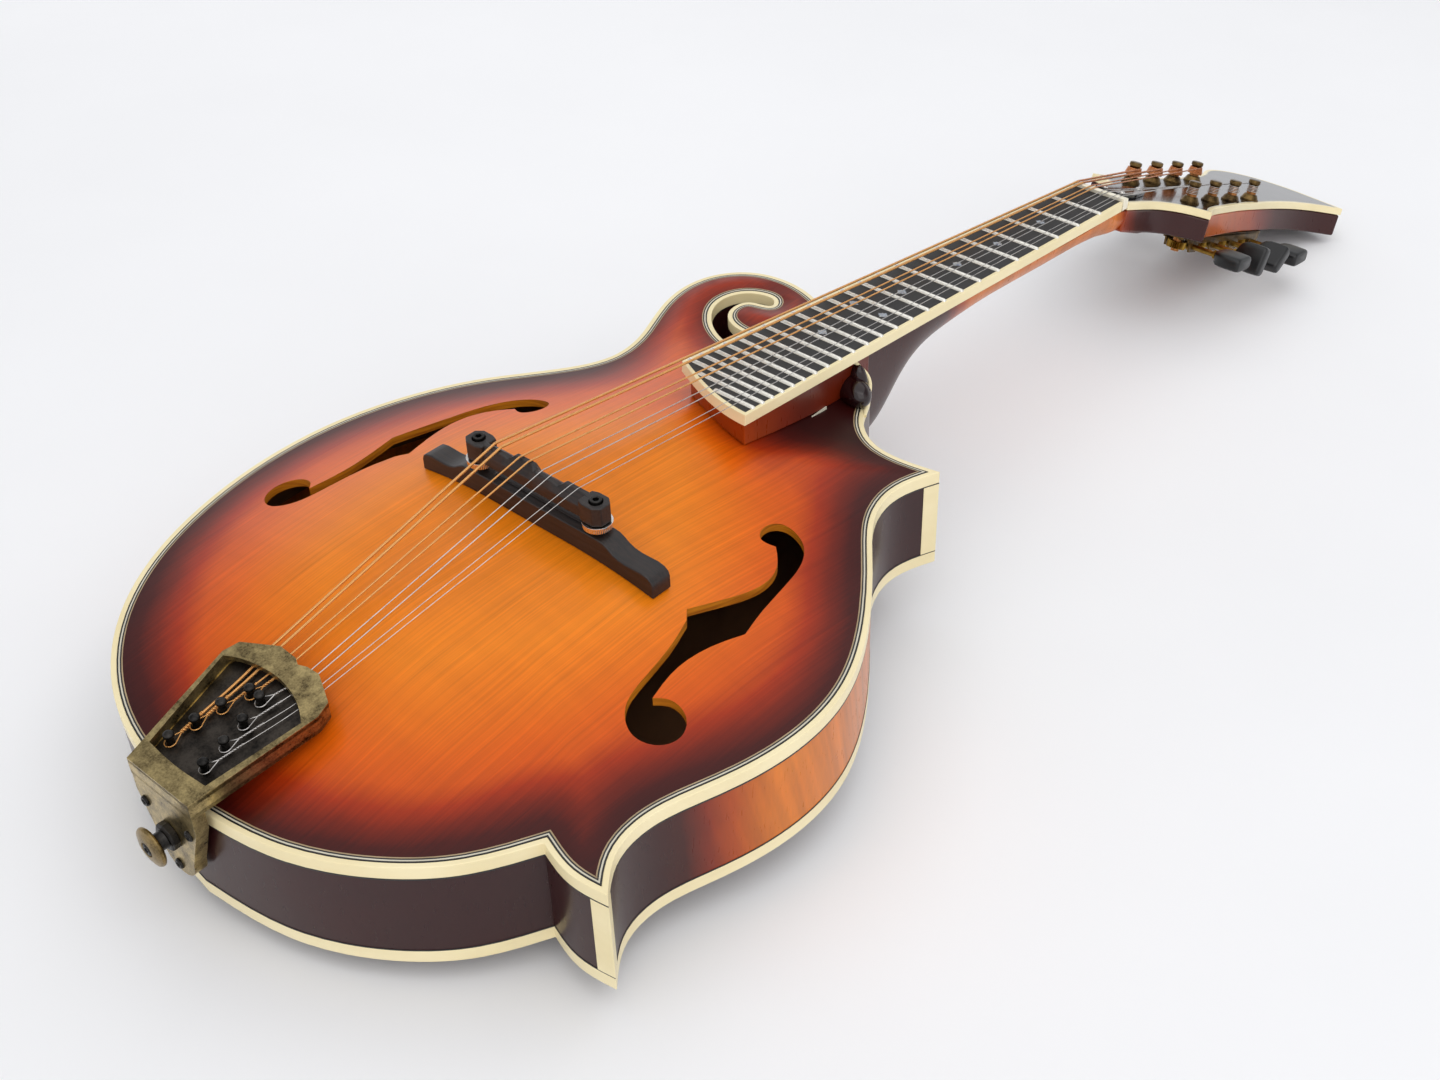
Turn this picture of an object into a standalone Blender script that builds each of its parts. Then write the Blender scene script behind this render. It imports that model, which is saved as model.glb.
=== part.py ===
"""F style mandolin, lying on its back with the head toward +Y and the treble side toward +X.

The pieces are drawn in the body frame in millimetres: the nut's front edge is y = 0, the tail is
toward -y, and z = 0 is the flat top edge of the rim. place() turns that frame into the shared frame,
where the back's arch and the end of the headstock both rest on z = 0.
"""

import math

import bpy
import numpy as np
from mathutils.geometry import delaunay_2d_cdt

for item in list(bpy.data.objects):
    bpy.data.objects.remove(item, do_unlink=True)

# Driving dimensions, millimetres and degrees.
# The body leans this far to the bass side of the neck's centre line at its wide end.
BODY_LEAN = -3.0
SCALE_LENGTH = 352.4
BODY_DEPTH = 42.0
TOP_ARCH = 18.5
BACK_ARCH = 14.0
PLATE = 4.2
ARCH_REACH = 100.0
BINDING_WIDTH = 2.0
BINDING_HEIGHT = 5.0
RIB = 2.0
GAP = 0.3

NECK_PITCH = 6.0
HEAD_TILT = 21.0
HEAD_THICK = 15.0
FACE_THICK = 3.5
NUT_HALF = 13.8
BOARD_END_HALF = 21.8
BOARD_THICK = 4.6
FRET_HEIGHT = 1.0
FRETS = 24
NECK_JOINT = -190.5

SADDLE_Y = -351.0
STRING_AT_SADDLE = 39.9
POST_SPACING = 56.4

POST_FIRST = 58.5
POST_PITCH = 23.4
POST_ROW = 16.4
POST_TOP = 10.3
WORM_BACK = -20.8
WORM_OFFSET = 7.2
BUTTON_IN = 36.0
BUTTON_OUT = 50.0
BUTTON_TURNS = (8, 80, 48, 12)

PIN_FIRST = -493.0
PIN_STEP = 8.7
TAILPIECE_BACK = -506.0
TAILPIECE_FRONT = -450.5
TAILPIECE_LOW = 11.0
TAILPIECE_SLOPE = 0.172

STRING_RADII = (0.5, 0.5, 0.33, 0.33, 0.19, 0.19, 0.14, 0.14)
STRING_NAMES = ("g_outer", "g_inner", "d_outer", "d_inner", "a_inner", "a_outer", "e_inner", "e_outer")
AT_NUT = (-11.4, -9.0, -4.6, -2.2, 2.2, 4.6, 9.0, 11.4)
AT_SADDLE = (-19.8, -16.6, -7.7, -3.5, 3.5, 7.7, 16.6, 19.8)
AT_PIN = (-14.4, -13.0, -11.0, -8.0, -3.0, -0.2, 1.8, 3.2)
AT_MOUTH = (-17.4, -14.7, -9.6, -6.4, 1.0, 4.2, 8.4, 10.8)

REST_TILT = 3.722
SHIFT_X = 1.54
SHIFT_Y = 150.24
SHIFT_Z = 82.13

PITCH = math.radians(NECK_PITCH)
HEAD = math.radians(HEAD_TILT)
REST = math.radians(REST_TILT)


# Frames and small vector tools.
def place(points):
    """Body frame in millimetres to the shared frame in metres."""
    p = np.asarray(points, float).reshape(-1, 3)
    c, s = math.cos(REST), math.sin(REST)
    y = p[:, 1] * c - p[:, 2] * s + SHIFT_Y
    z = p[:, 1] * s + p[:, 2] * c + SHIFT_Z
    return np.stack([p[:, 0] + SHIFT_X, y, z], 1) / 1000


def fret_plane(y):
    """Height of the fret tops above the rim at y."""
    return -y * math.tan(PITCH)


def board_bottom(y):
    return fret_plane(y) - FRET_HEIGHT - BOARD_THICK


def board_half(y):
    return NUT_HALF + (BOARD_END_HALF - NUT_HALF) * (-y) / 275.0


def head_point(x, s, n):
    """Point on the headstock: s along it from the nut, n out of its face."""
    y = 5.2 + s * math.cos(HEAD) + n * math.sin(HEAD)
    z = -3.6 - s * math.sin(HEAD) + n * math.cos(HEAD)
    return (x, y, z)


def fret_distance(number):
    return SCALE_LENGTH * (1 - 2 ** (-number / 12))


# Outlines.
def smooth(points, step=1.0):
    """Natural cubic spline through the points, sampled about every step."""
    p = np.asarray(points, float)
    t = np.concatenate([[0], np.cumsum(np.linalg.norm(np.diff(p, axis=0), axis=1))])
    n = len(p)
    h = np.diff(t)
    a = np.eye(n)
    b = np.zeros((n, p.shape[1]))
    for i in range(1, n - 1):
        a[i, i - 1 : i + 2] = h[i - 1], 2 * (h[i - 1] + h[i]), h[i]
        b[i] = 6 * ((p[i + 1] - p[i]) / h[i] - (p[i] - p[i - 1]) / h[i - 1])
    m = np.linalg.solve(a, b)
    out = []
    for i in range(n - 1):
        for u in np.linspace(0, 1, max(2, int(h[i] / step)), endpoint=False):
            d = u * h[i]
            e = h[i] - d
            cubic = (m[i] * e**3 + m[i + 1] * d**3) / (6 * h[i])
            left = (p[i] / h[i] - m[i] * h[i] / 6) * e
            right = (p[i + 1] / h[i] - m[i + 1] * h[i] / 6) * d
            out.append(cubic + left + right)
    out.append(p[-1])
    return np.array(out)


def thin(points, tolerance):
    """Fewest of the points that stay within the tolerance of them all."""
    points = np.asarray(points, float)
    if len(points) < 3:
        return points
    a, b = points[0], points[-1]
    along = b - a
    length = np.linalg.norm(along)
    away = points - a
    if length > 1e-9:
        away = away - np.outer(away @ along / length**2, along)
    far = np.linalg.norm(away, axis=1)
    k = int(far.argmax())
    if far[k] <= tolerance:
        return np.array([a, b])
    return np.vstack([thin(points[: k + 1], tolerance)[:-1], thin(points[k:], tolerance)])


def outline(runs, tolerance, clear=0.0):
    """Closed loop of smooth runs that meet at corners; clear keeps other points off the corners."""
    loop = []
    for run in runs:
        points = thin(smooth(run), tolerance)
        ends = points[[0, -1]]
        keep = [np.linalg.norm(ends - q, axis=1).min() > clear for q in points]
        keep[0] = True
        keep[-1] = False
        loop.extend(points[i] for i in range(len(points)) if keep[i])
    return np.array(loop)


def inset(loop, distance):
    """Loop moved inward; the loop runs counterclockwise."""
    before = loop - np.roll(loop, 1, axis=0)
    after = np.roll(loop, -1, axis=0) - loop
    before /= np.linalg.norm(before, axis=1)[:, None]
    after /= np.linalg.norm(after, axis=1)[:, None]
    left_b = np.stack([-before[:, 1], before[:, 0]], 1)
    left_a = np.stack([-after[:, 1], after[:, 0]], 1)
    mid = left_a + left_b
    mid /= np.einsum("ij,ij->i", mid, left_b)[:, None]
    return loop + mid * distance


def offset_path(path, distance):
    """Open path moved to its left."""
    d = np.gradient(path, axis=0)
    d /= np.linalg.norm(d, axis=1)[:, None]
    return path + np.stack([-d[:, 1], d[:, 0]], 1) * distance


def clip(loop, point, normal):
    """Part of the loop on the side of the line that the normal points away from."""
    side = (loop - point) @ normal
    out = []
    for i in range(len(loop)):
        j = (i + 1) % len(loop)
        if side[i] <= 0:
            out.append(loop[i])
        if (side[i] <= 0) != (side[j] <= 0):
            out.append(loop[i] + (loop[j] - loop[i]) * side[i] / (side[i] - side[j]))
    return np.array(out)


def stretch(loop, start, end):
    """Part of the loop from the vertex nearest start to the one nearest end."""
    i = int(np.linalg.norm(loop - start, axis=1).argmin())
    j = int(np.linalg.norm(loop - end, axis=1).argmin())
    return loop[i : j + 1] if i <= j else np.vstack([loop[i:], loop[: j + 1]])


def edge_distance(points, loop):
    """Distance from each point to the nearest edge of the loop."""
    points = np.asarray(points, float).reshape(-1, 2)
    best = np.full(len(points), 1e9)
    for a, b in zip(loop, np.roll(loop, -1, axis=0)):
        ab = b - a
        t = np.clip((points - a) @ ab / (ab @ ab), 0, 1)
        best = np.minimum(best, np.linalg.norm(points - a - t[:, None] * ab, axis=1))
    return best


def inside(points, loops):
    """Which points lie in an odd number of the loops."""
    points = np.asarray(points, float).reshape(-1, 2)
    odd = np.zeros(len(points), bool)
    for loop in loops:
        for a, b in zip(loop, np.roll(loop, -1, axis=0)):
            cross = (a[1] > points[:, 1]) != (b[1] > points[:, 1])
            x = a[0] + (points[:, 1] - a[1]) / (b[1] - a[1] + 1e-30) * (b[0] - a[0])
            odd ^= cross & (points[:, 0] < x)
    return odd


# Solids.
def material(name, colour, rough, metal):
    made = bpy.data.materials.new(name)
    made.use_nodes = True
    shader = made.node_tree.nodes["Principled BSDF"]
    shader.inputs["Base Color"].default_value = (*colour, 1)
    shader.inputs["Roughness"].default_value = rough
    shader.inputs["Metallic"].default_value = metal
    return made


LOOKS = {
    "spruce": ((0.75, 0.28, 0.05), 0.35, 0),
    "maple": ((0.20, 0.05, 0.02), 0.3, 0),
    "raw": ((0.72, 0.52, 0.32), 0.7, 0),
    "cream": ((0.85, 0.76, 0.52), 0.35, 0),
    "ebony": ((0.03, 0.025, 0.022), 0.4, 0),
    "black": ((0.01, 0.01, 0.01), 0.15, 0),
    "bone": ((0.88, 0.85, 0.76), 0.3, 0),
    "bronze": ((0.36, 0.28, 0.13), 0.45, 1),
    "brass": ((0.55, 0.42, 0.18), 0.35, 1),
    "steel": ((0.62, 0.61, 0.6), 0.25, 1),
    "wound": ((0.72, 0.42, 0.2), 0.3, 1),
}


def solid(name, points, faces, look, pivot=None):
    """One node from body frame points; its origin goes to the pivot."""
    placed = place(points)
    centre = place([pivot])[0] if pivot is not None else np.zeros(3)
    faces = [tuple(int(i) for i in face) for face in faces]
    volume = 0.0
    for face in faces:
        for k in range(1, len(face) - 1):
            volume += np.linalg.det(placed[[face[0], face[k], face[k + 1]]])
    if volume < 0:
        faces = [face[::-1] for face in faces]
    mesh = bpy.data.meshes.new(name)
    mesh.from_pydata((placed - centre).tolist(), [], faces)
    mesh.update()
    thing = bpy.data.objects.new(name, mesh)
    thing.location = centre
    bpy.context.scene.collection.objects.link(thing)
    mesh.materials.append(material(name, *LOOKS[look]))
    return thing


def slab(name, loops, low, high, look, inner=(), turn=None, pivot=None):
    """Sheet between two surfaces over the loops; turn maps (x, y, z) into the body frame."""
    flat = []
    edges = []
    for loop in loops:
        first = len(flat)
        flat.extend((float(q[0]), float(q[1])) for q in loop)
        edges.extend((first + i, first + (i + 1) % len(loop)) for i in range(len(loop)))
    flat.extend((float(q[0]), float(q[1])) for q in inner)
    found = delaunay_2d_cdt(flat, edges, [], 0, 1e-5)
    at = np.array([tuple(v) for v in found[0]])
    faces = np.array(found[2])
    kept = faces[inside(at[faces].mean(axis=1), loops)]
    used, kept = np.unique(kept, return_inverse=True)
    kept = kept.reshape(-1, 3)
    at = at[used]
    n = len(at)
    top = high(at) if callable(high) else np.full(n, float(high))
    bottom = low(at) if callable(low) else np.full(n, float(low))
    points = np.vstack([np.c_[at, top], np.c_[at, bottom]])
    if turn is not None:
        points = np.array([turn(*q) for q in points])
    area = [np.cross(at[b] - at[a], at[c] - at[a]) for a, b, c in kept]
    kept = [tuple(f) if s > 0 else tuple(f[::-1]) for f, s in zip(kept, area)]
    sides = {}
    for a, b, c in kept:
        for e in ((a, b), (b, c), (c, a)):
            sides[e] = True
    walls = [(b, a, a + n, b + n) for a, b in sides if (b, a) not in sides]
    under = [(c + n, b + n, a + n) for a, b, c in kept]
    return solid(name, points, kept + under + walls, look, pivot)


def loft(name, rings, look, pivot=None):
    """Skin over rings of equal count, closed with a flat end at each side."""
    rings = [np.asarray(ring, float) for ring in rings]
    m = len(rings[0])
    points = np.vstack(rings)
    faces = []
    for i in range(len(rings) - 1):
        for j in range(m):
            k = (j + 1) % m
            faces.append((i * m + j, i * m + k, (i + 1) * m + k, (i + 1) * m + j))
    faces.append(tuple(range(m))[::-1])
    faces.append(tuple((len(rings) - 1) * m + j for j in range(m)))
    return solid(name, points, faces, look, pivot)


def turned(name, profile, count, look, frame, pivot=None):
    """Lathe work: profile of (radius, along); frame maps (a, b, along) into the body frame."""
    rings = []
    for radius, along in profile:
        turn = [2 * math.pi * (j + 0.5) / count for j in range(count)]
        rings.append([frame(radius * math.cos(t), radius * math.sin(t), along) for t in turn])
    return loft(name, rings, look, pivot)


def wire(name, path, radius, sides, look):
    """Round wire along a path."""
    path = np.asarray(path, float)
    along = np.gradient(path, axis=0)
    along /= np.linalg.norm(along, axis=1)[:, None]
    up = np.array([0.0, 0.0, 1.0])
    rings = []
    for q, d in zip(path, along):
        side = np.cross(d, up)
        side /= np.linalg.norm(side)
        up = np.cross(side, d)
        ring = []
        for j in range(sides):
            t = 2 * math.pi * (j + 0.5) / sides
            ring.append(q + radius * (math.cos(t) * side + math.sin(t) * up))
        rings.append(ring)
    return loft(name, rings, look)


def helper(thing):
    thing.hide_render = True
    thing.display_type = "WIRE"
    return thing


def boolean(thing, kind, other):
    step = thing.modifiers.new(kind.lower(), "BOOLEAN")
    step.operation = kind
    step.solver = "EXACT"
    step.object = helper(other)


# The body outline, counterclockwise from the tail.
LOWER_TIP = np.array([122.0, -444.5])
UPPER_TIP = np.array([74.0, -222.5])
BODY_RUNS = [
    [(-2, -500.5), (36, -494.3), (64, -480), (82, -463), (94, -442.5)],
    [(94, -442.5), (107, -445.8), LOWER_TIP],
    [LOWER_TIP, (112.5, -431), (110.4, -416), (116.5, -393), (122.6, -365), (120.5, -337)]
    + [(107.5, -308), (84, -275.5), (71, -256), (68.3, -241), UPPER_TIP],
    [UPPER_TIP, (58, -225), (46, -224), (33.5, -216), (27, -206), (22, -197), (14.5, -190.5)],
    [(14.5, -190.5), (-14.5, -190.5)],
    [(-14.5, -190.5), (-19, -196.5), (-27, -204), (-41, -206), (-54, -202), (-64, -194)]
    + [(-69.5, -182), (-66.5, -172), (-58, -167), (-52, -168), (-50.2, -171.5)]
    + [(-54, -173.5), (-60, -176), (-62, -182), (-58.5, -190), (-48, -194.5), (-36, -193)]
    + [(-27, -187), (-23.5, -177), (-28, -164), (-42, -155), (-58, -152), (-74, -155.5)]
    + [(-86, -168), (-89.3, -184), (-84, -206), (-75.5, -228), (-74.5, -241), (-85, -263)]
    + [(-103, -287), (-117.5, -316), (-124.8, -345), (-126, -370), (-120, -408)]
    + [(-103, -447), (-80, -473), (-44, -493), (-2, -500.5)],
]
BODY = outline(BODY_RUNS, 0.3, 6.0)


def body_arch(at, height, start=2.3):
    """Height of the carved arch above the rim."""
    reach = np.clip((edge_distance(at, BODY) - start) / ARCH_REACH, 0, 1)
    return height * np.sin(np.pi / 2 * reach) ** 1.3


def top_surface(at):
    return body_arch(np.asarray(at)[:, :2], TOP_ARCH)


def under_top(at):
    return top_surface(at) - PLATE


def back_surface(at):
    return -BODY_DEPTH - body_arch(np.asarray(at)[:, :2], BACK_ARCH)


def over_back(at):
    return back_surface(at) + PLATE


def top_height(x, y):
    return float(top_surface(np.array([[x, y]]))[0])


# F-holes: eyes joined by a stem with two nicks.
F_RUNS = [
    [(69, -353.5), (72.5, -364.5), (75.5, -382), (79, -392.5), (87, -397.5), (95, -394)]
    + [(97.3, -387), (93, -380.5), (86, -380), (82, -383.4)],
    [(82, -383.4), (79.8, -371), (81, -356), (84.4, -342.6)],
    [(84.4, -342.6), (80.5, -329), (76.5, -312), (71, -297), (63.5, -290), (55, -289.8)]
    + [(52.8, -296), (57, -302.5), (62, -301)],
    [(62, -301), (69.5, -309.5), (72.4, -321), (70.5, -334), (65.7, -349.7)],
    [(65.7, -349.7), (69, -353.5)],
]
TREBLE_F = outline(F_RUNS, 0.3, 1.2)[::-1]
BASS_F = (TREBLE_F * (-1, 1) + (2 * BODY_LEAN, 0))[::-1]


def field(loop, holes, pitch, keep):
    """Staggered points inside the loop, off its edges and off the holes."""
    low, high = loop.min(axis=0), loop.max(axis=0)
    points = []
    for row, y in enumerate(np.arange(low[1], high[1], pitch * 0.87)):
        for x in np.arange(low[0] + (row % 2) * pitch / 2, high[0], pitch):
            points.append((x, y))
    points = np.array(points)
    good = inside(points, [loop]) & (edge_distance(points, loop) > keep)
    for hole in holes:
        good &= (edge_distance(points, hole) > keep) & ~inside(points, [hole])
    return points[good]


plate_loop = inset(BODY, BINDING_WIDTH + GAP)
holes = [TREBLE_F, BASS_F]
mesh_points = field(plate_loop, holes, 15.0, 7.0)
slab("soundboard", [plate_loop, *holes], under_top, top_surface, "spruce", mesh_points)
mesh_points = field(plate_loop, [], 19.0, 8.0)
slab("back_plate", [plate_loop], back_surface, over_back, "maple", mesh_points)

inner = inset(BODY, BINDING_WIDTH)
low_edge = -BODY_DEPTH + BINDING_HEIGHT
slab("top_binding", [BODY, inner], -BINDING_HEIGHT, 0, "cream")
slab("back_binding", [BODY, inner], -BODY_DEPTH, low_edge, "cream")


def toward(tip, other):
    d = tip - np.array(other, float)
    return d / np.linalg.norm(d)


LOWER_OUT = toward(LOWER_TIP, (105.0, -436.5))
UPPER_OUT = toward(UPPER_TIP, (61.0, -231.5))


def blunt(loop, depth):
    """Loop with both points cut off square this far behind their tips."""
    loop = clip(loop, LOWER_TIP - LOWER_OUT * depth, LOWER_OUT)
    return clip(loop, UPPER_TIP - UPPER_OUT * depth, UPPER_OUT)


rib_low, rib_high = low_edge + GAP, -BINDING_HEIGHT - GAP
rib_outer = blunt(inset(BODY, 0.2), 7.5)
rib_inner = blunt(inset(BODY, 0.2 + RIB), 10.2)
slab("rim", [rib_outer, rib_inner], rib_low, rib_high, "maple")
for name, tip, out in (
    ("lower_point_protector", LOWER_TIP, LOWER_OUT),
    ("upper_point_protector", UPPER_TIP, UPPER_OUT),
):
    wedge = clip(BODY, tip - out * 7.2, -out)
    wedge = wedge[np.linalg.norm(wedge - tip, axis=1) < 20]
    slab(name, [wedge], rib_low, rib_high, "cream")

# Blocks and linings glued inside the ribs.
block_low, block_high = -BODY_DEPTH + PLATE + GAP, -PLATE - GAP
within = blunt(inset(BODY, RIB + 0.5), 10.8)
BLOCKS = {
    "head_block": ((33, -212), (-72, -230), [(-60, -234), (0, -236), (26, -226)]),
    "tail_block": ((-24, -494), (24, -494), [(24, -477), (-24, -477)]),
    "lower_point_block": ((97, -441), (108, -412), [(104, -421), (101, -433)]),
    "upper_point_block": ((66, -246), (48, -228), [(53, -236)]),
}
for name, (start, end, chord) in BLOCKS.items():
    loop = np.vstack([stretch(within, start, end), chord])
    slab(name, [loop], block_low, block_high, "raw")

LINING_WIDTH, LINING_DEPTH = 5.0, 12.0
bass_path = stretch(within, (-77, -250), (-36, -491))
treble_path = np.vstack(
    [
        stretch(within, (34, -492), (86, -450)),
        stretch(within, (111, -402), (70, -262)),
        [(58, -246), (45, -236)],
    ]
)
for side, path in (("bass", bass_path), ("treble", treble_path)):
    band = np.vstack([offset_path(path, 0.3), offset_path(path, LINING_WIDTH)[::-1]])
    slab("top_lining_" + side, [band], block_high - LINING_DEPTH, block_high, "raw")
    slab("back_lining_" + side, [band], block_low, block_low + LINING_DEPTH, "raw")


# Tone bars follow the underside of the top.
def tone_bar(name, x_low, x_high):
    ys = np.linspace(-455, -262, 10)
    xs = np.linspace(x_low, x_high, 10)
    loop = np.vstack([np.c_[xs + 3, ys], np.c_[xs - 3, ys][::-1]])

    def depth(at):
        along = (at[:, 1] + 358.5) / 96.5
        return under_top(at) - 0.6 - 3 - 9 * np.clip(1 - along**2, 0, 1)

    slab(name, [loop], depth, lambda at: under_top(at) - 0.6, "raw")


tone_bar("bass_tone_bar", -38, -26)
tone_bar("treble_tone_bar", 40, 22)

# Fingerboard with frets pressed in, its binding and the wood under its end.
BOARD_BINDING = 1.6


def on_board(x, y, n):
    """Point n above the fret tops, y down the middle of the neck."""
    return (x, y + n * math.sin(PITCH), fret_plane(y) + n * math.cos(PITCH))


def end_line(x):
    """Where the board ends toward the bridge, curving from bass to treble."""
    t = (x + BOARD_END_HALF) / (2 * BOARD_END_HALF)
    return -256.2 - 13.9 * math.sin(math.pi / 2 * t)


def board_loop(trim, nut_end):
    xs = np.linspace(-BOARD_END_HALF + trim, BOARD_END_HALF - trim, 9)
    end = [(x, end_line(x) + trim * 1.15) for x in xs]
    half = board_half(nut_end) - trim
    return np.array([(-half, nut_end)] + end + [(half, nut_end)])


board_low, board_high = -FRET_HEIGHT - BOARD_THICK, -FRET_HEIGHT
core = board_loop(BOARD_BINDING + 0.1, -0.4)
board = slab("fingerboard", [core], board_low, board_high, "ebony", turn=on_board)
for number in range(1, FRETS + 1):
    y = -fret_distance(number)
    half = board_half(y) - BOARD_BINDING - 0.6
    right = min(half, BOARD_END_HALF - 3)
    left = -half
    while end_line(left) + 3.2 > y and left < right - 4:
        left += 0.5
    loop = np.array([(left, y - 0.7), (right, y - 0.7), (right, y + 0.7), (left, y + 0.7)])
    crown = slab("fret_%d" % number, [loop], board_high - 1.5, 0, "steel", turn=on_board)
    boolean(board, "UNION", crown)

outer = board_loop(0, -0.4)
inner_path = board_loop(BOARD_BINDING, -0.4)
band = np.vstack([outer, inner_path[::-1]])
slab("fingerboard_binding", [band], board_low, board_high, "cream", turn=on_board)


def support_top(at):
    return board_bottom(at[:, 1]) - 0.6


SUPPORT = [(17, -192), (-17, -192), (-17.3, -205), (-17.6, -220), (-18, -240), (-18.3, -256), (-8, -261.5)]
SUPPORT += [(6, -266), (19, -268), (18.5, -250), (18, -235), (17.7, -220), (17.4, -205)]
SUPPORT = np.array(SUPPORT)


def support_foot(at):
    return np.minimum(top_surface(at) + 0.55, support_top(at) - 2.0)


support_points = field(SUPPORT, [], 9.0, 3.0)
slab("fingerboard_support", [SUPPORT], support_foot, support_top, "maple", support_points)


# Neck: shaft, heel and headstock in one piece of wood.
def neck_ring(y, half, depth):
    """Soft V under the board."""
    top = board_bottom(y) - GAP
    ring = [(half, y, top)]
    for k in range(1, 12):
        a = math.pi * k / 12
        ring.append((half * math.cos(a), y, top - depth * math.sin(a) ** 1.25))
    ring.append((-half, y, top))
    return ring


NECK_STATIONS = [
    (9.5, 12.8, 9.0),
    (2.0, 13.4, 12.5),
    (-25.0, 14.4, 12.9),
    (-90.0, 16.2, 12.9),
    (-110.0, 16.8, 13.5),
    (-122.0, 17.1, 14.8),
    (-135.0, 17.4, 16.8),
    (-148.0, 17.5, 20.6),
    (-157.0, 17.2, 27.0),
    (-163.0, 16.8, 34.8),
    (-168.0, 16.4, 43.0),
    (-174.0, 16.0, 50.8),
    (-180.0, 15.7, 53.8),
    (NECK_JOINT + GAP, 15.4, 54.8),
]
rings = []
for y, half, depth in NECK_STATIONS:
    ring = neck_ring(y, half, depth)
    if y > 0:
        ring = [(p[0], p[1], p[2] - 0.36 * y) for p in ring]
    rings.append(ring)
neck = loft("neck", rings, "maple")

HEAD_RUNS = [
    [(13.7, 0.6), (13.8, 14), (14.4, 26), (18, 38), (25, 46), (33, 49.5)],
    [(33, 49.5), (28.5, 60), (25.2, 80), (22.8, 105), (22.3, 130), (22.9, 155), (26, 176), (31.5, 191)]
    + [(38.5, 203)],
    [(38.5, 203), (28, 207), (16, 211.5), (2, 216), (-12, 217.5), (-24, 214.5), (-32.5, 206), (-36, 195)]
    + [(-35, 184), (-30, 170), (-25.5, 152), (-23, 130), (-22.8, 108), (-25, 82), (-28.5, 61), (-33, 49.5)],
    [(-33, 49.5), (-25, 46), (-18, 38), (-14.4, 26), (-13.8, 14), (-13.7, 0.6)],
    [(-13.7, 0.6), (13.7, 0.6)],
]
HEAD_LOOP = outline(HEAD_RUNS, 0.3, 5.0)
face_loop = inset(HEAD_LOOP, BINDING_WIDTH)
POSTS = [(side * POST_ROW, POST_FIRST + i * POST_PITCH) for side in (-1, 1) for i in range(4)]


def circle(x, y, radius, count):
    turn = [2 * math.pi * (j + 0.5) / count for j in range(count)]
    return np.array([(x + radius * math.cos(t), y + radius * math.sin(t)) for t in turn])


bores = [circle(x, s, 2.95, 8) for x, s in POSTS]
core_loops = [inset(HEAD_LOOP, 0.2), *bores]
head_core = slab("head_core", core_loops, -HEAD_THICK, -FACE_THICK - GAP, "maple", turn=head_point)
boolean(neck, "UNION", head_core)


def rod_ring(y, half, low, high):
    return [(half, y, low), (half, y, high), (-half, y, high), (-half, y, low)]


cut = [rod_ring(y, 3.4, board_bottom(y) - 9.6, board_bottom(y) + 4) for y in (-178.0, -8.0)]
boolean(neck, "DIFFERENCE", loft("rod_channel", cut, "raw"))
rod = [rod_ring(y, 2.9, board_bottom(y) - 9.0, board_bottom(y) - 1.0) for y in (-177.0, -9.0)]
loft("truss_rod", rod, "steel")

edge_face = inset(HEAD_LOOP, BINDING_WIDTH + 0.2)
slab("headstock_overlay", [edge_face, *bores], -FACE_THICK, 0, "black", turn=head_point)
slab("headstock_binding", [HEAD_LOOP, face_loop], -FACE_THICK, 0, "cream", turn=head_point)
COVER = [(-7.5, 5), (7.5, 5), (8.5, 14), (6, 26), (3, 36), (0, 40), (-3, 36), (-6, 26), (-8.5, 14)]
slab("truss_rod_cover", [np.array(COVER, float)], GAP, 2.0, "black", turn=head_point)


def across(y, z, x):
    return (x, y, z)


NUT_LOW = -FRET_HEIGHT - BOARD_THICK
NUT = [(0, NUT_LOW), (4.2, NUT_LOW), (4.2, -0.9), (1.5, 0.45), (0, 0.45)]
slab("nut", [np.array(NUT)], -NUT_HALF, NUT_HALF, "bone", turn=across)


# Bridge: base on the top, two posts, two thumbwheels, saddle.
def bridge_slab(name, loop, thick, look, pivot=None):
    loop = np.asarray(loop, float)

    def turn(x, z, depth):
        return (x, SADDLE_Y + depth, z)

    return slab(name, [loop], -thick / 2, thick / 2, look, turn=turn, pivot=pivot)


BASE_HALF, BASE_TOP = 56.2, 27.2
feet = [(x, top_height(x, SADDLE_Y) + 0.35) for x in np.linspace(-BASE_HALF, BASE_HALF, 19)]
feet = [(x, max(z, top_height(x, SADDLE_Y - 6), top_height(x, SADDLE_Y + 6)) + 0.1) for x, z in feet]
crest = [(56.2, 20.5), (54.8, 22.5), (51, 23.3), (45, 23.2), (38.5, 24.4), (34, BASE_TOP), (0, BASE_TOP)]
crest = crest + [(-x, z) for x, z in crest[-2::-1]]
base = bridge_slab("bridge_base", feet + crest, 8.6, "ebony")
WHEEL_LOW, WHEEL_HIGH, SADDLE_LOW = 29.1, 31.4, 31.7
saddle_top = STRING_AT_SADDLE - 0.35
SADDLE = [(-32.5, SADDLE_LOW), (32.5, SADDLE_LOW), (32.5, 38.2), (31.5, 39.2), (24, 39.2)]
SADDLE += [(22, saddle_top - 0.6)]
SADDLE += [(14.5, saddle_top - 0.6), (13.5, 37.6), (10, 37.6), (9, saddle_top - 0.4), (2.5, saddle_top - 0.4)]
SADDLE += [(1.5, 38.0), (-1.5, 38.0), (-2.5, saddle_top - 0.7), (-9, saddle_top - 0.7), (-10, 37.6)]
SADDLE += [(-13.5, 37.6), (-14.5, saddle_top - 0.9), (-22, saddle_top - 0.9), (-24, 39.2), (-31.5, 39.2)]
SADDLE += [(-32.5, 38.2)]
SADDLE_PIVOT = (0, SADDLE_Y, SADDLE_LOW)
saddle = bridge_slab("bridge_saddle", SADDLE, 6.6, "ebony", SADDLE_PIVOT)
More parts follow.
